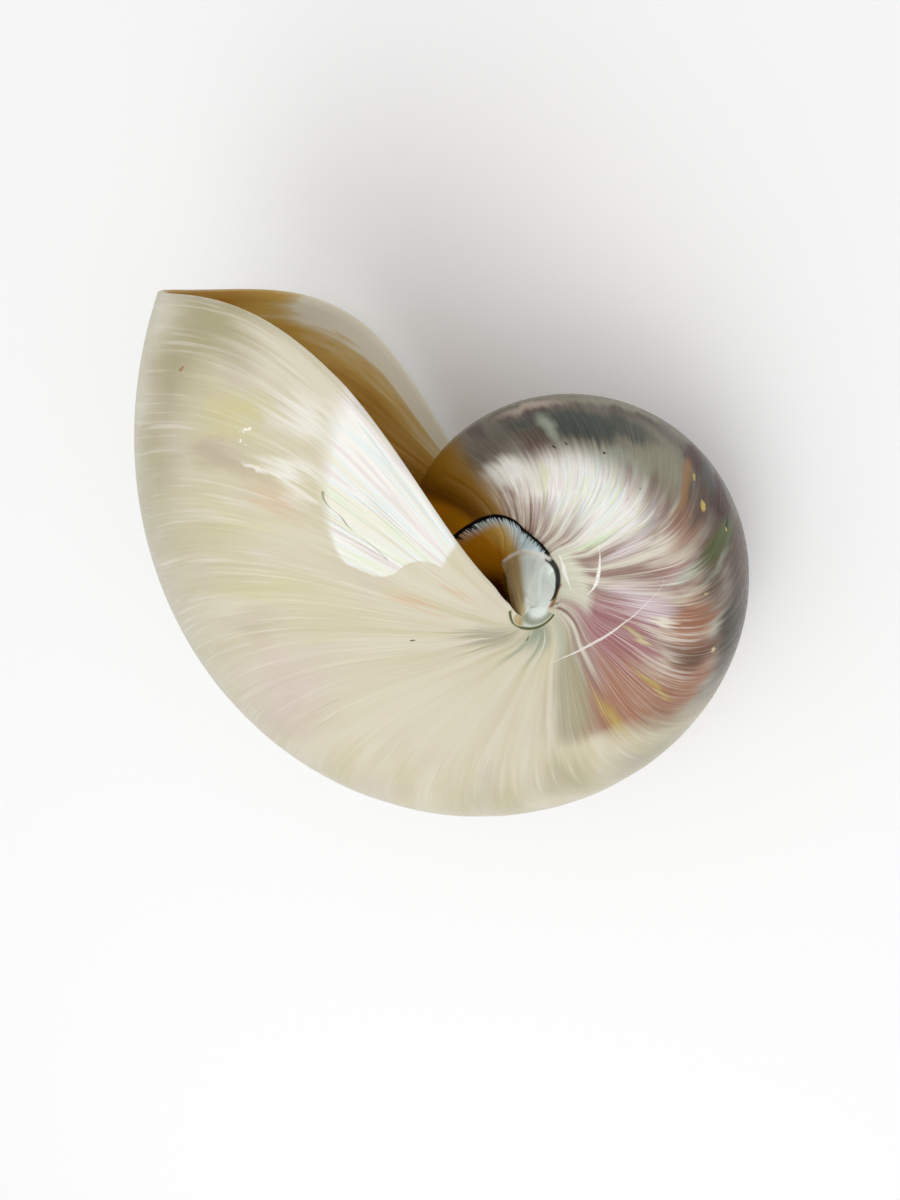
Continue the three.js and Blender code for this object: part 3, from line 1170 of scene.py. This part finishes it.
@dataclass(frozen=True)
class Coil:
    """The silver coil, with dark, rose, copper and green clouds, fine ribs, and a pearly fan that is partly
    the overhead lamp's reflection and partly painted highlight.
    """

    edge: Line = (
        (0, -214), (32, -192), (67, -187), (92, -174), (109, -150), (125, -150), (140, -165),
        (180, -190),
    )
    edge_softness: Fade = Fade(11.0, -9.0)
    edge_streaks: float = 10.0
    edge_mottle: float = 14.0
    taupe: Fade = Fade(0.4, 0.62)
    # Darker towards the venter: partly the coil's own dark nacre, partly painted dark reflection and shade;
    # the keel fade greys the venter line.
    dark_venter_and_reflection: Fade = Fade(88.0, 44.0, 0.0, 0.85)
    keel: Fade = Fade(14.0, 3.0, 0.0, 0.6)
    # Painted highlight: the pearly fan, in pearl and pastel streaks.
    fan_highlight_middle: tuple[float, float] = (-296.0, 92.0)
    fan_highlight_halves: tuple[float, float] = (46.0, 34.0)
    fan_highlight_softness: Fade = Fade(1.0, 0.3, 0.0, 0.55)
    ribs_across: Fade = Fade(60.0, 92.0, 0.05, 0.5)
    ribs_along: Fade = Fade(-172.0, -205.0, 0.25, 1.0)
    light_rib: Fade = Fade(0.5, 0.72)
    dark_rib: Fade = Fade(0.46, 0.28, 0.0, 0.65)
    # Painted amber glow, then painted brown shade deeper in, where the coil goes into the mouth.
    mouth_glow: Fade = Fade(-337.0, -350.0, 0.0, 0.95)
    brown: Fade = Fade(-346.0, -366.0, 0.0, 0.95)
    patches: tuple[Patch, ...] = (
        Patch(Tone.PUTTY, -160, 122, 16, 34, 0.9, 0.4),
        Patch(Tone.ROSE, -206, 122, 34, 30, 1.0, 0.4),
        Patch(Tone.CLAY, -182, 102, 26, 28, 0.9, 0.3),
        Patch(Tone.CLAY, -200, 78, 18, 22, 0.8, 0.3),
        Patch(Tone.UMBER, -209, 80, 9, 20, 0.75),
        Patch(Tone.CLAY, -222, 84, 15, 22, 0.85, 0.3),
        Patch(Tone.UMBER, -232, 68, 13, 16, 0.75),
        Patch(Tone.CLAY, -254, 74, 12, 18, 0.55),
        Patch(Tone.DUSK, -213, 50, 9, 14, 0.7, 0.3),
        Patch(Tone.LILAC, -231, 112, 16, 20, 0.75),
        # Painted highlight: a small warm glint in ivory and yellow.
        Patch(Tone.IVORY, -222, 103, 5, 8, 0.85, 0.2),
        Patch(Tone.YELLOW, -210, 110, 4, 8, 0.7, 0.2),
        Patch(Tone.ROSE, -244, 92, 12, 16, 0.45),
        Patch(Tone.GOLD, -174, 100, 4.5, 26, 0.7),
        Patch(Tone.DUSK, -227, 36, 9, 15, 0.8, 0.3),
        Patch(Tone.GOLD, -195, 94, 2.6, 16, 0.6),
        Patch(Tone.STONE, -274, 48, 18, 26, 0.9, 0.4),
        Patch(Tone.DUSK, -212, 44, 17, 26, 1.0, 0.4),
        Patch(Tone.UMBER, -228, 34, 14, 24, 1.0, 0.4),
        Patch(Tone.CHARCOAL, -208, 30, 8, 12, 0.8),
        Patch(Tone.SAGE, -240, 84, 4, 16, 0.7),
        Patch(Tone.MAROON, -246, 34, 9, 20, 1.0, 0.5),
        Patch(Tone.LEAF, -238, 54, 6.5, 30, 0.85, 0.3),
        Patch(Tone.SAGE, -233, 66, 1.6, 24, 0.45),
        Patch(Tone.CHARCOAL, -254, 34, 7, 20, 0.95, 0.4),
        Patch(Tone.MAROON, -260, 30, 5, 16, 0.9, 0.4),
        Patch(Tone.COPPER, -262, 54, 2.2, 26, 0.65, 0.4),
        Patch(Tone.UMBER, -254, 52, 6, 26, 0.7, 0.3),
        Patch(Tone.CHARCOAL, -282, 38, 16, 14, 0.85, 0.3),
        Patch(Tone.CHARCOAL, -298, 42, 18, 17, 1.0, 0.4),
        Patch(Tone.CHARCOAL, -315, 36, 10, 10, 0.8),
        Patch(Tone.SAGE, -290, 62, 18, 11, 0.6),
        Patch(Tone.SAGE, -308, 46, 3.5, 18, 0.7),
        Patch(Tone.MAUVE, -309, 20, 16, 10, 0.8),
        Patch(Tone.STONE, -285, 14, 34, 9, 0.8),
        # Painted highlight over the fan: pearl patches, with mint and lilac tints beside them.
        Patch(Tone.PEARL, -306, 84, 30, 28, 0.95, 0.3),
        Patch(Tone.PEARL, -281, 100, 20, 24, 0.85, 0.3),
        Patch(Tone.MINT, -277, 116, 5, 14, 0.8),
        Patch(Tone.LILAC, -262, 110, 6, 16, 0.7),
        Patch(Tone.YELLOW, -318, 84, 5, 18, 0.6),
        # Painted amber glow by the mouth.
        Patch(Tone.HONEY, -349, 22, 17, 42, 0.95, 0.4),
        # Painted highlight: pearl at the fan's deep end.
        Patch(Tone.PEARL, -332, 70, 14, 19, 0.95, 0.3),
    )

    def share(self, at: Surface) -> Socket:
        """Where the coil's finish shows: 1 behind its ragged edge, 0 on the flanks.

        Args:
            at: the shell's surface.

        Returns:
            The share, from 0 to 1.
        """
        graph = at.graph
        behind = graph.number("SUBTRACT", at.growth, graph.curve(at.across, self.edge))
        level = graph.number("ADD", behind, -self.edge_streaks / 2)
        ragged = graph.number("MULTIPLY_ADD", at.fine, self.edge_streaks, level)
        level = graph.number("ADD", ragged, -self.edge_mottle / 2)
        ragged = graph.number("MULTIPLY_ADD", at.mottle, self.edge_mottle, level)
        return graph.fade(ragged, self.edge_softness)

    def paint(self, at: Surface, place: Socket) -> Socket:
        """Paints the coil, out to where it goes into the mouth.

        Args:
            at: the shell's surface.
            place: growth and section angle, feathered.

        Returns:
            The coil's colour.
        """
        graph = at.graph
        shade = graph.mix(graph.fade(at.broad, self.taupe), Tone.SILVER, Tone.TAUPE)
        # Darker towards the venter: partly dark nacre, partly painted dark reflection and shade.
        shade = graph.mix(graph.fade(at.across, self.dark_venter_and_reflection), shade, Tone.DUSK)
        for patch in self.patches:
            shade = patch.lay(graph, place, shade)
        shade = graph.mix(graph.fade(at.across, self.keel), shade, Tone.STONE)
        sheen_pastel = graph.ramp(at.streaks(along=0.5, over=0.03, seed=21.0, detail=4.0), SHEEN_PASTELS)
        # Painted highlight: the fan, laid in pastel streaks.
        fan_highlight = graph.fade(graph.distance(at.flat, self.fan_highlight_middle, self.fan_highlight_halves), self.fan_highlight_softness)
        shade = graph.mix(fan_highlight, shade, sheen_pastel)
        ribbed = graph.fade(at.across, self.ribs_across)
        ribbed = graph.product(ribbed, graph.fade(at.growth, self.ribs_along))
        shade = graph.mix(graph.product(graph.fade(at.hair, self.light_rib), ribbed), shade, Tone.PEARL)
        shade = graph.mix(graph.product(graph.fade(at.hair, self.dark_rib), ribbed), shade, Tone.UMBER)
        # Painted amber glow and, deeper in, painted brown shade where the coil goes into the mouth.
        shade = graph.mix(graph.fade(at.growth, self.mouth_glow), shade, Tone.HONEY)
        return graph.mix(graph.fade(at.growth, self.brown), shade, Tone.BROWN)


@dataclass(frozen=True)
class PaleBandWithGlare:
    """A pale band on the flank beside the mouth, with a lobed edge: partly paler nacre, partly a painted
    glare of the window light.
    """

    edge: Line = (
        (86, 1), (92, -8), (96, -18), (100, -23), (105, -28), (110, -31), (116, -31), (120, -27.5),
        (122.5, -21), (127, -14.5), (131, -12),
    )
    mottle: float = 3.0
    comb: Fade = Fade(106.0, 92.0, 0.0, 20.0)
    softness: Fade = Fade(92.0, 110.0, 11.0, 0.5)
    border: Fade = Fade(0.5, 2.5)
    outer_end: Fade = Fade(74.0, 100.0)
    inner_end: Fade = Fade(131.0, 129.5)
    dull_hair: Fade = Fade(0.4, 0.3, 0.0, 0.4)
    strength: float = 0.95

    def share(self, at: Surface) -> Socket:
        """Where the band shows.

        Args:
            at: the shell's surface.

        Returns:
            The share, from 0 to 1.
        """
        graph = at.graph
        within = graph.number("SUBTRACT", at.growth, graph.curve(at.across, self.edge))
        within = graph.number("MULTIPLY_ADD", at.mottle, self.mottle, within)
        streaks = graph.number("SUBTRACT", at.fine, 0.5)
        within = graph.number("MULTIPLY_ADD", streaks, graph.fade(at.across, self.comb), within)
        within = graph.number("DIVIDE", within, graph.fade(at.across, self.softness))
        ends = graph.product(graph.fade(at.across, self.outer_end), graph.fade(at.across, self.inner_end))
        return graph.product(graph.fade(within, self.border), ends)

    def paint(self, at: Surface, share: Socket, under: Socket) -> Socket:
        """Paints the band, with its painted glare.

        Args:
            at: the shell's surface.
            share: where the band shows.
            under: the colour beneath.

        Returns:
            The colour with the band on it.
        """
        graph = at.graph
        sheen_pastel = graph.ramp(at.streaks(along=0.28, over=0.02, seed=31.0, detail=2.0), SHEEN_PASTELS)
        # Painted glare: pearl with pastel streaks, over the paler nacre by the lip.
        glare_and_pale_nacre = graph.mix(0.5, Tone.PEARL, sheen_pastel)
        glare_and_pale_nacre = graph.mix(graph.fade(at.hair, self.dull_hair), glare_and_pale_nacre, Tone.PUTTY)
        return graph.mix(graph.product(share, self.strength), under, glare_and_pale_nacre)


@dataclass(frozen=True)
class Marks:
    """Small painted glints, and pits and specks, and the scratches and the bright lines of painted
    highlight.
    """

    glints_and_specks: tuple[Patch, ...] = (
        # Painted highlights: the pearl glints by the lip, and the white squiggle.
        Patch(Tone.PEARL, -14.5, 77.2, 0.28, 0.8, 1.0, 0.5),
        Patch(Tone.PEARL, -15.1, 76.8, 0.2, 1.0, 1.0, 0.5),
        Patch(Tone.PEARL, -16.6, 76.6, 0.35, 0.7, 1.0, 0.5),
        Patch(Tone.PEARL, -16.9, 78.2, 0.18, 0.5, 1.0, 0.5),
        Patch(Tone.PEARL, -20.0, 82, 0.5, 5.0, 0.7, 0.3),
        Patch(Tone.COPPER, -9, 52, 0.35, 0.9, 0.9, 0.5),
        Patch(Tone.UMBER, -57.5, 122.5, 0.5, 0.5, 0.95, 0.6),
        Patch(Tone.GOLD, -252.5, 53.5, 1.6, 3.2, 0.95, 0.6),
        Patch(Tone.GOLD, -258, 44, 1.0, 3.0, 0.85, 0.5),
        Patch(Tone.GOLD, -240, 46, 0.8, 1.4, 0.9, 0.5),
        Patch(Tone.YELLOW, -210, 66, 1.1, 2.2, 0.8, 0.5),
        Patch(Tone.YELLOW, -231, 74, 0.7, 2.0, 0.7, 0.5),
        Patch(Tone.BLACK, -293, 62, 0.7, 1.4, 0.9, 0.6),
        Patch(Tone.BLACK, -311, 60, 0.5, 0.9, 0.9, 0.6),
        Patch(Tone.BLACK, -306, 58, 0.45, 0.8, 0.9, 0.6),
        Patch(Tone.BLACK, -278, 74, 0.4, 1.0, 0.7, 0.6),
        Patch(Tone.BLACK, -306, 12, 0.5, 1.4, 0.8, 0.6),
        Patch(Tone.LEAF, -96, 150, 2.2, 1.6, 0.8, 0.4),
        Patch(Tone.BLACK, -240.5, 42, 1.0, 4.0, 0.9, 0.5),
    )
    scratches_and_highlight_lines: tuple[Stroke, ...] = (
        Stroke(Tone.BLACK, ((-274, 9), (-268, 5), (-262, 1)), 1.1, 0.95, 1.0),
        Stroke(
            Tone.STONE,
            ((-24, 118), (-22.5, 113), (-22, 109), (-20.5, 106), (-20, 103), (-18, 101)),
            0.5,
            0.8,
            0.4,
        ),
        # Painted highlights: bright lines on the coil's shoulder by the umbilicus.
        Stroke(Tone.PEARL, ((-280, 131), (-262, 136), (-245, 140), (-222, 142)), 1.4, 0.95, tapered=True),
        Stroke(Tone.PEARL, ((-271, 116), (-253, 124), (-238, 129), (-224, 134)), 1.1, 0.95, tapered=True),
        Stroke(
            Tone.PEARL,
            ((-240, 98), (-219, 115), (-200, 124), (-176, 131), (-146, 135)),
            0.8,
            0.7,
            tapered=True,
        ),
    )

    def glint_and_speckle(self, at: Surface, under: Socket) -> Socket:
        """Lays the painted glints and the specks over what is there.

        Args:
            at: the shell's surface.
            under: the colour beneath.

        Returns:
            The colour with the specks on it.
        """
        place = at.crumbled()
        for speck in self.glints_and_specks:
            under = speck.lay(at.graph, place, under)
        return under

    def scratch_and_highlight(self, at: Surface, under: Socket) -> Socket:
        """Lays the scratches and the painted highlight lines over what is there.

        Args:
            at: the shell's surface.
            under: the colour beneath.

        Returns:
            The colour with the scratches on it.
        """
        for scratch_and_highlight in self.scratches_and_highlight_lines:
            under = scratch_and_highlight.lay(at.graph, at.growth, at.across, under)
        return under


@dataclass(frozen=True)
class LiningAndGlow:
    """The inside of the living chamber: a painted amber glow deep inside, as of light through the thin wall,
    and paler, cloudy nacre towards the lip.
    """

    stops: Stops = (
        (0.0, Tone.AMBER),
        (0.38, Tone.HONEY),
        (0.6, Tone.TAN),
        (0.84, Tone.BEIGE),
        (0.94, Tone.SAND),
        (1.0, Tone.IVORY),
    )
    towards_lip: Fade = Fade(-38.0, 0.0)
    off_venter: Fade = Fade(25.0, 75.0, -0.3, 0.12)
    broad_clouds: float = 0.9
    fine_clouds: float = 0.35
    cloud_level: float = -0.62

    def paint(self, at: Surface, under: Socket) -> Socket:
        """Paints the lining over what is there.

        Args:
            at: the shell's surface.
            under: the colour of the outside.

        Returns:
            The colour of the outside and the inside.
        """
        graph = at.graph
        paleness = graph.fade(at.growth, self.towards_lip)
        paleness = graph.number("ADD", paleness, graph.fade(at.across, self.off_venter))
        clouds = graph.number("MULTIPLY_ADD", at.fine, self.fine_clouds, self.cloud_level)
        clouds = graph.number("MULTIPLY_ADD", at.broad, self.broad_clouds, clouds)
        # Painted glow: amber deep inside, fading to pale nacre towards the lip.
        return graph.mix(at.inner, under, graph.ramp(graph.number("ADD", paleness, clouds), self.stops))


@dataclass(frozen=True)
class Pocket:
    """The pocket by the umbilicus: amber to icy white, with a toothed black edge, and a pale ring."""

    lines: Umbilicus = Umbilicus()
    ring_spread: Fade = Fade(12.0, 9.4)
    ring_turned: Fade = Fade(66.0, 84.0)
    ring_growth: Fade = Fade(-196.0, -212.0, 0.0, 0.85)
    far_end: Fade = Fade(76.0, 72.0)
    near_end: Fade = Fade(-70.0, -60.0)
    ahead: Fade = Fade(-280.0, -290.0)
    steel_teeth: Fade = Fade(0.4, 0.62)
    icy_fringe: Fade = Fade(30.0, 56.0)
    brown: Fade = Fade(-10.0, -40.0)
    beige: Fade = Fade(38.0, 20.0)
    warmth: Fade = Fade(22.0, 4.0)
    fringe: Fade = Fade(3.6, 0.6, 0.0, 0.9)
    deep_warmth: Fade = Fade(10.0, -6.0, 0.0, 0.85)
    border: Fade = Fade(0.0, 0.3)
    tooth_length: Fade = Fade(0.42, 0.62, 0.65, 2.15)
    tooth_end: Fade = Fade(1.0, 0.6)
    outline: Fade = Fade(-0.45, -0.2)

    def paint(self, at: Surface, under: Socket) -> Socket:
        """Paints the ring and the pocket over what is there.

        Args:
            at: the shell's surface.
            under: the colour beneath.

        Returns:
            The colour with the ring and the pocket on it.
        """
        graph = at.graph
        ring = graph.product(
            graph.fade(at.spread, self.ring_spread),
            graph.fade(at.turned, self.ring_turned),
            graph.fade(at.growth, self.ring_growth),
        )
        colour = graph.mix(ring, under, Tone.PALE)
        inside = graph.number("SUBTRACT", graph.curve(at.turned, self.lines.film), at.spread)
        zone = graph.product(
            graph.fade(at.turned, self.far_end),
            graph.fade(at.growth, self.ahead),
            graph.fade(at.turned, self.near_end),
        )
        comb = at.streaks(along=1.3, over=0.05, seed=41.0)
        amount = graph.product(zone, graph.fade(inside, self.border))
        colour = graph.mix(amount, colour, self.floor(at, inside, comb))
        along_tooth = graph.number("DIVIDE", inside, graph.fade(comb, self.tooth_length))
        bite = graph.fade(along_tooth, self.tooth_end)
        edge = graph.product(graph.fade(inside, self.outline), bite, zone)
        return graph.mix(edge, colour, Tone.BLACK)

    def floor(self, at: Surface, inside: Socket, comb: Socket) -> Socket:
        """The colours of the pocket's floor.

        Args:
            at: the shell's surface.
            inside: how far inside the film's edge, in millimetres.
            comb: fine noise along the growth lines.

        Returns:
            The floor's colour.
        """
        graph = at.graph
        fringe = graph.mix(graph.fade(comb, self.steel_teeth), Tone.ICE, Tone.STEEL)
        fringe = graph.mix(graph.fade(at.turned, self.icy_fringe), fringe, Tone.ICE)
        warm = graph.mix(graph.fade(at.turned, self.brown), Tone.AMBER, Tone.BROWN)
        floor = graph.mix(graph.fade(at.turned, self.beige), Tone.ICE, Tone.BEIGE)
        floor = graph.mix(graph.fade(at.turned, self.warmth), floor, warm)
        floor = graph.mix(graph.fade(inside, self.fringe), floor, fringe)
        return graph.mix(graph.fade(at.turned, self.deep_warmth), floor, warm)


@dataclass(frozen=True)
class Callus:
    """The milky callus, its inked edge, its crest, the painted shade in its dish and the outline of its
    lobe.
    """

    lines: Umbilicus = Umbilicus()
    past_crest: Fade = Fade(66.0, 72.0)
    past_wall: Fade = Fade(-2.0, -14.0)
    coil_side: Fade = Fade(-200.0, -215.0)
    middle: Fade = Fade(6.2, 5.6)
    border: Fade = Fade(-0.1, 0.15)
    wall_streaks: Fade = Fade(0.4, 0.6)
    wall_run: Fade = Fade(-2.8, -4.0, 0.0, 0.9)
    lobe_run: Fade = Fade(-14.0, -40.0)
    lobe_painted_shade: Fade = Fade(1.6, 3.0, 0.0, 0.9)
    lobe_rim: Fade = Fade(3.9, 3.3, 0.25, 1.0)
    copper_offset: float = 0.55
    outline_offset: float = 0.4

    def paint(self, at: Surface, under: Socket) -> Socket:
        """Paints the callus and its lines over what is there.

        Args:
            at: the shell's surface.
            under: the colour beneath.

        Returns:
            The colour with the callus on it.
        """
        graph, lines = at.graph, self.lines
        right, upper, left = (graph.curve(at.turned, line) for line in (lines.ink, lines.crest, lines.lobe))
        bound = graph.mix_number(graph.fade(at.turned, self.past_crest), upper, right)
        bound = graph.mix_number(graph.fade(at.turned, self.past_wall), bound, left)
        inside = graph.number("SUBTRACT", bound, at.spread)
        coil_side = graph.fade(at.growth, self.coil_side)
        ahead = graph.number("MAXIMUM", coil_side, graph.fade(at.spread, self.middle))
        # Painted shade: lichen grey at the bottom of the dish, lighter again on the lobe's rim.
        painted_shade = graph.product(
            graph.fade(at.turned, self.lobe_run),
            graph.fade(at.spread, self.lobe_painted_shade),
            graph.fade(at.spread, self.lobe_rim),
        )
        milk = graph.mix(painted_shade, Tone.MILK, Tone.LICHEN)
        wall = graph.mix(graph.fade(at.fine, self.wall_streaks), Tone.BEIGE, Tone.PUTTY)
        milk = graph.mix(graph.product(graph.fade(at.coilward, self.wall_run), ahead), milk, wall)
        colour = graph.mix(graph.product(graph.fade(inside, self.border), ahead), under, milk)
        for stroke in self.strokes():
            colour = stroke.lay(graph, at.turned, at.spread, colour)
        return colour

    def strokes(self) -> tuple[Stroke, ...]:
        """The lines drawn around the callus, in the order they are laid.

        Returns:
            The lines, each a spread in millimetres over a turned angle in degrees.
        """
        lines = self.lines
        copper = tuple((turned, spread + self.copper_offset) for turned, spread in lines.ink[3:])
        outline = tuple((turned, spread + self.outline_offset) for turned, spread in lines.lobe)
        return (
            Stroke(Tone.COPPER, copper, 0.8, 0.9, 6.0),
            Stroke(Tone.BLACK, lines.ink[:-1], 0.95, 0.98, 5.0),
            Stroke(Tone.PEARL, lines.crest, 0.5, 0.85, 6.0),
            Stroke(Tone.LEAF, outline, 0.4, 0.95, 6.0),
        )


@dataclass(frozen=True)
class Nacre:
    """Polished mother-of-pearl: all the shell's finishes, with their painted highlights, glow and shade,
    their gloss and their fine relief.
    """

    flank: Flank = Flank()
    coil: Coil = Coil()
    band: PaleBandWithGlare = PaleBandWithGlare()
    marks: Marks = Marks()
    lining_and_glow: LiningAndGlow = LiningAndGlow()
    pocket: Pocket = Pocket()
    callus: Callus = Callus()
    roughness: Fade = Fade(0.3, 0.75, 0.28, 0.4)
    metal: Fade = Fade(0.3, 0.7, 0.1, 0.35)
    metal_across: Fade = Fade(45.0, 88.0, 0.1, 1.0)
    mouth_shelter: Fade = Fade(-352.0, -330.0)
    coat_across: Fade = Fade(30.0, 80.0, 0.3, 1.0)
    coat: Fade = Fade(0.0, 1.0, 0.05, 0.25)
    coat_roughness: float = 0.07
    specular: float = 0.22
    rib_relief_across: Fade = Fade(60.0, 95.0)
    relief: Fade = Fade(0.0, 1.0, 0.12, 1.0)
    hair_relief: float = 0.6
    fine_relief: float = 0.8
    grain_relief: float = 0.02
    bump_strength: float = 0.25
    bump_distance: float = 0.0003

    def dress(self, piece: bpy.types.Object) -> None:
        """Makes the material and puts it on the shell.

        Args:
            piece: the shell's object.
        """
        material = bpy.data.materials.new("nacre")
        material.use_nodes = True
        graph = Graph(material.node_tree)
        at = Surface(graph)
        coil, band = self.coil.share(at), self.band.share(at)
        shader = graph.tree.nodes["Principled BSDF"]
        graph.tree.links.new(self.paint(at, coil, band), shader.inputs["Base Color"])
        graph.tree.links.new(self.bump(at, coil, band), shader.inputs["Normal"])
        self.polish(at, coil, band, shader)
        piece.data.materials.append(material)
        log.info("finish: %d nodes", len(graph.tree.nodes))

    def paint(self, at: Surface, coil: Socket, band: Socket) -> Socket:
        """Lays all the colours over each other.

        Args:
            at: the shell's surface.
            coil: where the coil's finish shows.
            band: where the pale band with its painted glare shows.

        Returns:
            The shell's colour.
        """
        place = at.feathered()
        colour = at.graph.mix(coil, self.flank.paint(at, place), self.coil.paint(at, place))
        colour = self.band.paint(at, band, colour)
        colour = self.marks.glint_and_speckle(at, colour)
        colour = self.lining_and_glow.paint(at, colour)
        colour = self.pocket.paint(at, colour)
        colour = self.callus.paint(at, colour)
        return self.marks.scratch_and_highlight(at, colour)

    def polish(self, at: Surface, coil: Socket, band: Socket, shader: bpy.types.Node) -> None:
        """Sets the gloss: a pearly metal sheen on the coil, and a clear polish on it and on the band.

        Args:
            at: the shell's surface.
            coil: where the coil's finish shows.
            band: where the pale band with its painted glare shows.
            shader: the material's shader.
        """
        graph = at.graph
        outside = graph.number("SUBTRACT", 1.0, at.inner)
        open_air = graph.product(outside, graph.fade(at.growth, self.mouth_shelter))
        metal = graph.product(graph.fade(at.broad, self.metal), graph.fade(at.across, self.metal_across))
        polished = graph.product(graph.number("MAXIMUM", coil, band), open_air)
        polished = graph.product(polished, graph.fade(at.across, self.coat_across))
        linked = {
            "Roughness": graph.fade(at.grain, self.roughness),
            "Metallic": graph.product(coil, metal, open_air),
            "Coat Weight": graph.fade(polished, self.coat),
        }
        for name, socket in linked.items():
            graph.tree.links.new(socket, shader.inputs[name])
        shader.inputs["Specular IOR Level"].default_value = self.specular
        shader.inputs["Coat Roughness"].default_value = self.coat_roughness

    def bump(self, at: Surface, coil: Socket, band: Socket) -> Socket:
        """The growth lines too fine for the mesh, strongest on the coil's ribs and the band.

        Args:
            at: the shell's surface.
            coil: where the coil's finish shows.
            band: where the pale band with its painted glare shows.

        Returns:
            The surface's direction.
        """
        graph = at.graph
        ribs = graph.product(coil, graph.fade(at.across, self.rib_relief_across))
        lively = graph.fade(graph.number("MAXIMUM", ribs, band), self.relief)
        lines = graph.product(at.fine, self.fine_relief)
        lines = graph.number("MULTIPLY_ADD", at.hair, self.hair_relief, lines)
        height = graph.number("MULTIPLY_ADD", at.grain, self.grain_relief, graph.product(lines, lively))
        inputs = {"Height": height, "Strength": self.bump_strength, "Distance": self.bump_distance}
        return graph.node("Bump", inputs).outputs[0]


@dataclass(frozen=True)
class Viewpoint:
    """The camera, placed in the shell's own frame.

    Angles are in degrees. Right, up and distance are in lip radii, the lens and its sensor in
    millimetres, and the nearest depth it shows in metres.
    """

    tilt: float = 22.37
    swing: float = -0.44
    roll: float = 142.67
    right: float = -0.1876
    up: float = -0.0908
    distance: float = 1.9272
    lens: float = 24.17
    sensor: float = 36.0
    nearest: float = 0.01

    def make(self, shell: NautilusShell) -> bpy.types.Object:
        """Makes the scene's camera.

        Args:
            shell: the shell as it lies.

        Returns:
            The camera's object.
        """
        axes = (
            Matrix.Rotation(math.radians(self.tilt), 4, "X")
            @ Matrix.Rotation(math.radians(self.swing), 4, "Y")
            @ Matrix.Rotation(math.radians(self.roll), 4, "Z")
        )
        offset = Vector((self.right, self.up, self.distance)) * shell.whorl.lip_radius
        data = bpy.data.cameras.new("camera")
        data.lens = self.lens
        data.sensor_width = self.sensor
        data.clip_start = self.nearest
        camera = bpy.data.objects.new("camera", data)
        camera.matrix_world = shell.place @ axes.transposed() @ Matrix.Translation(offset)
        bpy.context.scene.collection.objects.link(camera)
        bpy.context.scene.camera = camera
        log.info("camera: a lens of %.1f mm", self.lens)
        return camera


@dataclass(frozen=True)
class Softbox:
    """A soft rectangular light that faces the shell. Angles in degrees, lengths in metres."""

    name: str
    turned: float
    height: float
    distance: float
    width: float
    depth: float
    brightness: float

    def make(self) -> None:
        """Hangs the light, with a power that gives its face the same brightness at any size."""
        data = bpy.data.lights.new(self.name, "AREA")
        data.shape = "RECTANGLE"
        data.size, data.size_y = self.width, self.depth
        data.energy = self.brightness * math.pi * self.width * self.depth
        turned, height = math.radians(self.turned), math.radians(self.height)
        towards = Vector(
            (math.sin(turned) * math.cos(height), -math.cos(turned) * math.cos(height), math.sin(height))
        )
        lamp = bpy.data.objects.new(self.name, data)
        lamp.location = towards * self.distance
        lamp.rotation_mode = "QUATERNION"
        lamp.rotation_quaternion = towards.to_track_quat("Z", "Y")
        bpy.context.scene.collection.objects.link(lamp)


@dataclass(frozen=True)
class Studio:
    """The pale floor, the soft lights and the pale surround."""

    floor_half: float = 12.0
    floor_roughness: float = 0.9
    pale: tuple[float, float, float, float] = (0.97, 0.97, 0.97, 1.0)
    surround: float = 0.68
    lights: tuple[Softbox, ...] = (
        Softbox("overhead", 40, 80, 1.2, 2.2, 2.0, 0.47),
        Softbox("window", 0, 60, 0.9, 0.5, 0.5, 1.42),
    )

    def make(self) -> None:
        """Sets up the floor, the surround and the lights."""
        bpy.context.scene.view_settings.view_transform = "Standard"
        self.lay_floor()
        world = bpy.data.worlds.new("surround")
        world.use_nodes = True
        sky = world.node_tree.nodes["Background"]
        sky.inputs["Color"].default_value = self.pale
        sky.inputs["Strength"].default_value = self.surround
        bpy.context.scene.world = world
        for light in self.lights:
            light.make()
        log.info("studio: a floor and %d lights", len(self.lights))

    def lay_floor(self) -> None:
        """Lays the floor at height 0."""
        half = self.floor_half
        corners = [(-half, -half, 0), (half, -half, 0), (half, half, 0), (-half, half, 0)]
        mesh = bpy.data.meshes.new("floor")
        mesh.from_pydata(corners, [], [(0, 1, 2, 3)])
        floor = bpy.data.objects.new("floor", mesh)
        bpy.context.scene.collection.objects.link(floor)
        paint = bpy.data.materials.new("floor_paint")
        paint.use_nodes = True
        shader = paint.node_tree.nodes["Principled BSDF"]
        shader.inputs["Base Color"].default_value = self.pale
        shader.inputs["Roughness"].default_value = self.floor_roughness
        mesh.materials.append(paint)


def main() -> None:
    """Builds the shell, gives it its finish, and sets up the camera and the studio."""
    logging.basicConfig(level=logging.INFO, format="%(message)s")
    shell = NautilusShell()
    piece = shell.build()
    Nacre().dress(piece)
    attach(piece, "root")
    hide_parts("shell")
    Viewpoint().make(shell)
    Studio().make()


if __name__ == "__main__":
    main()
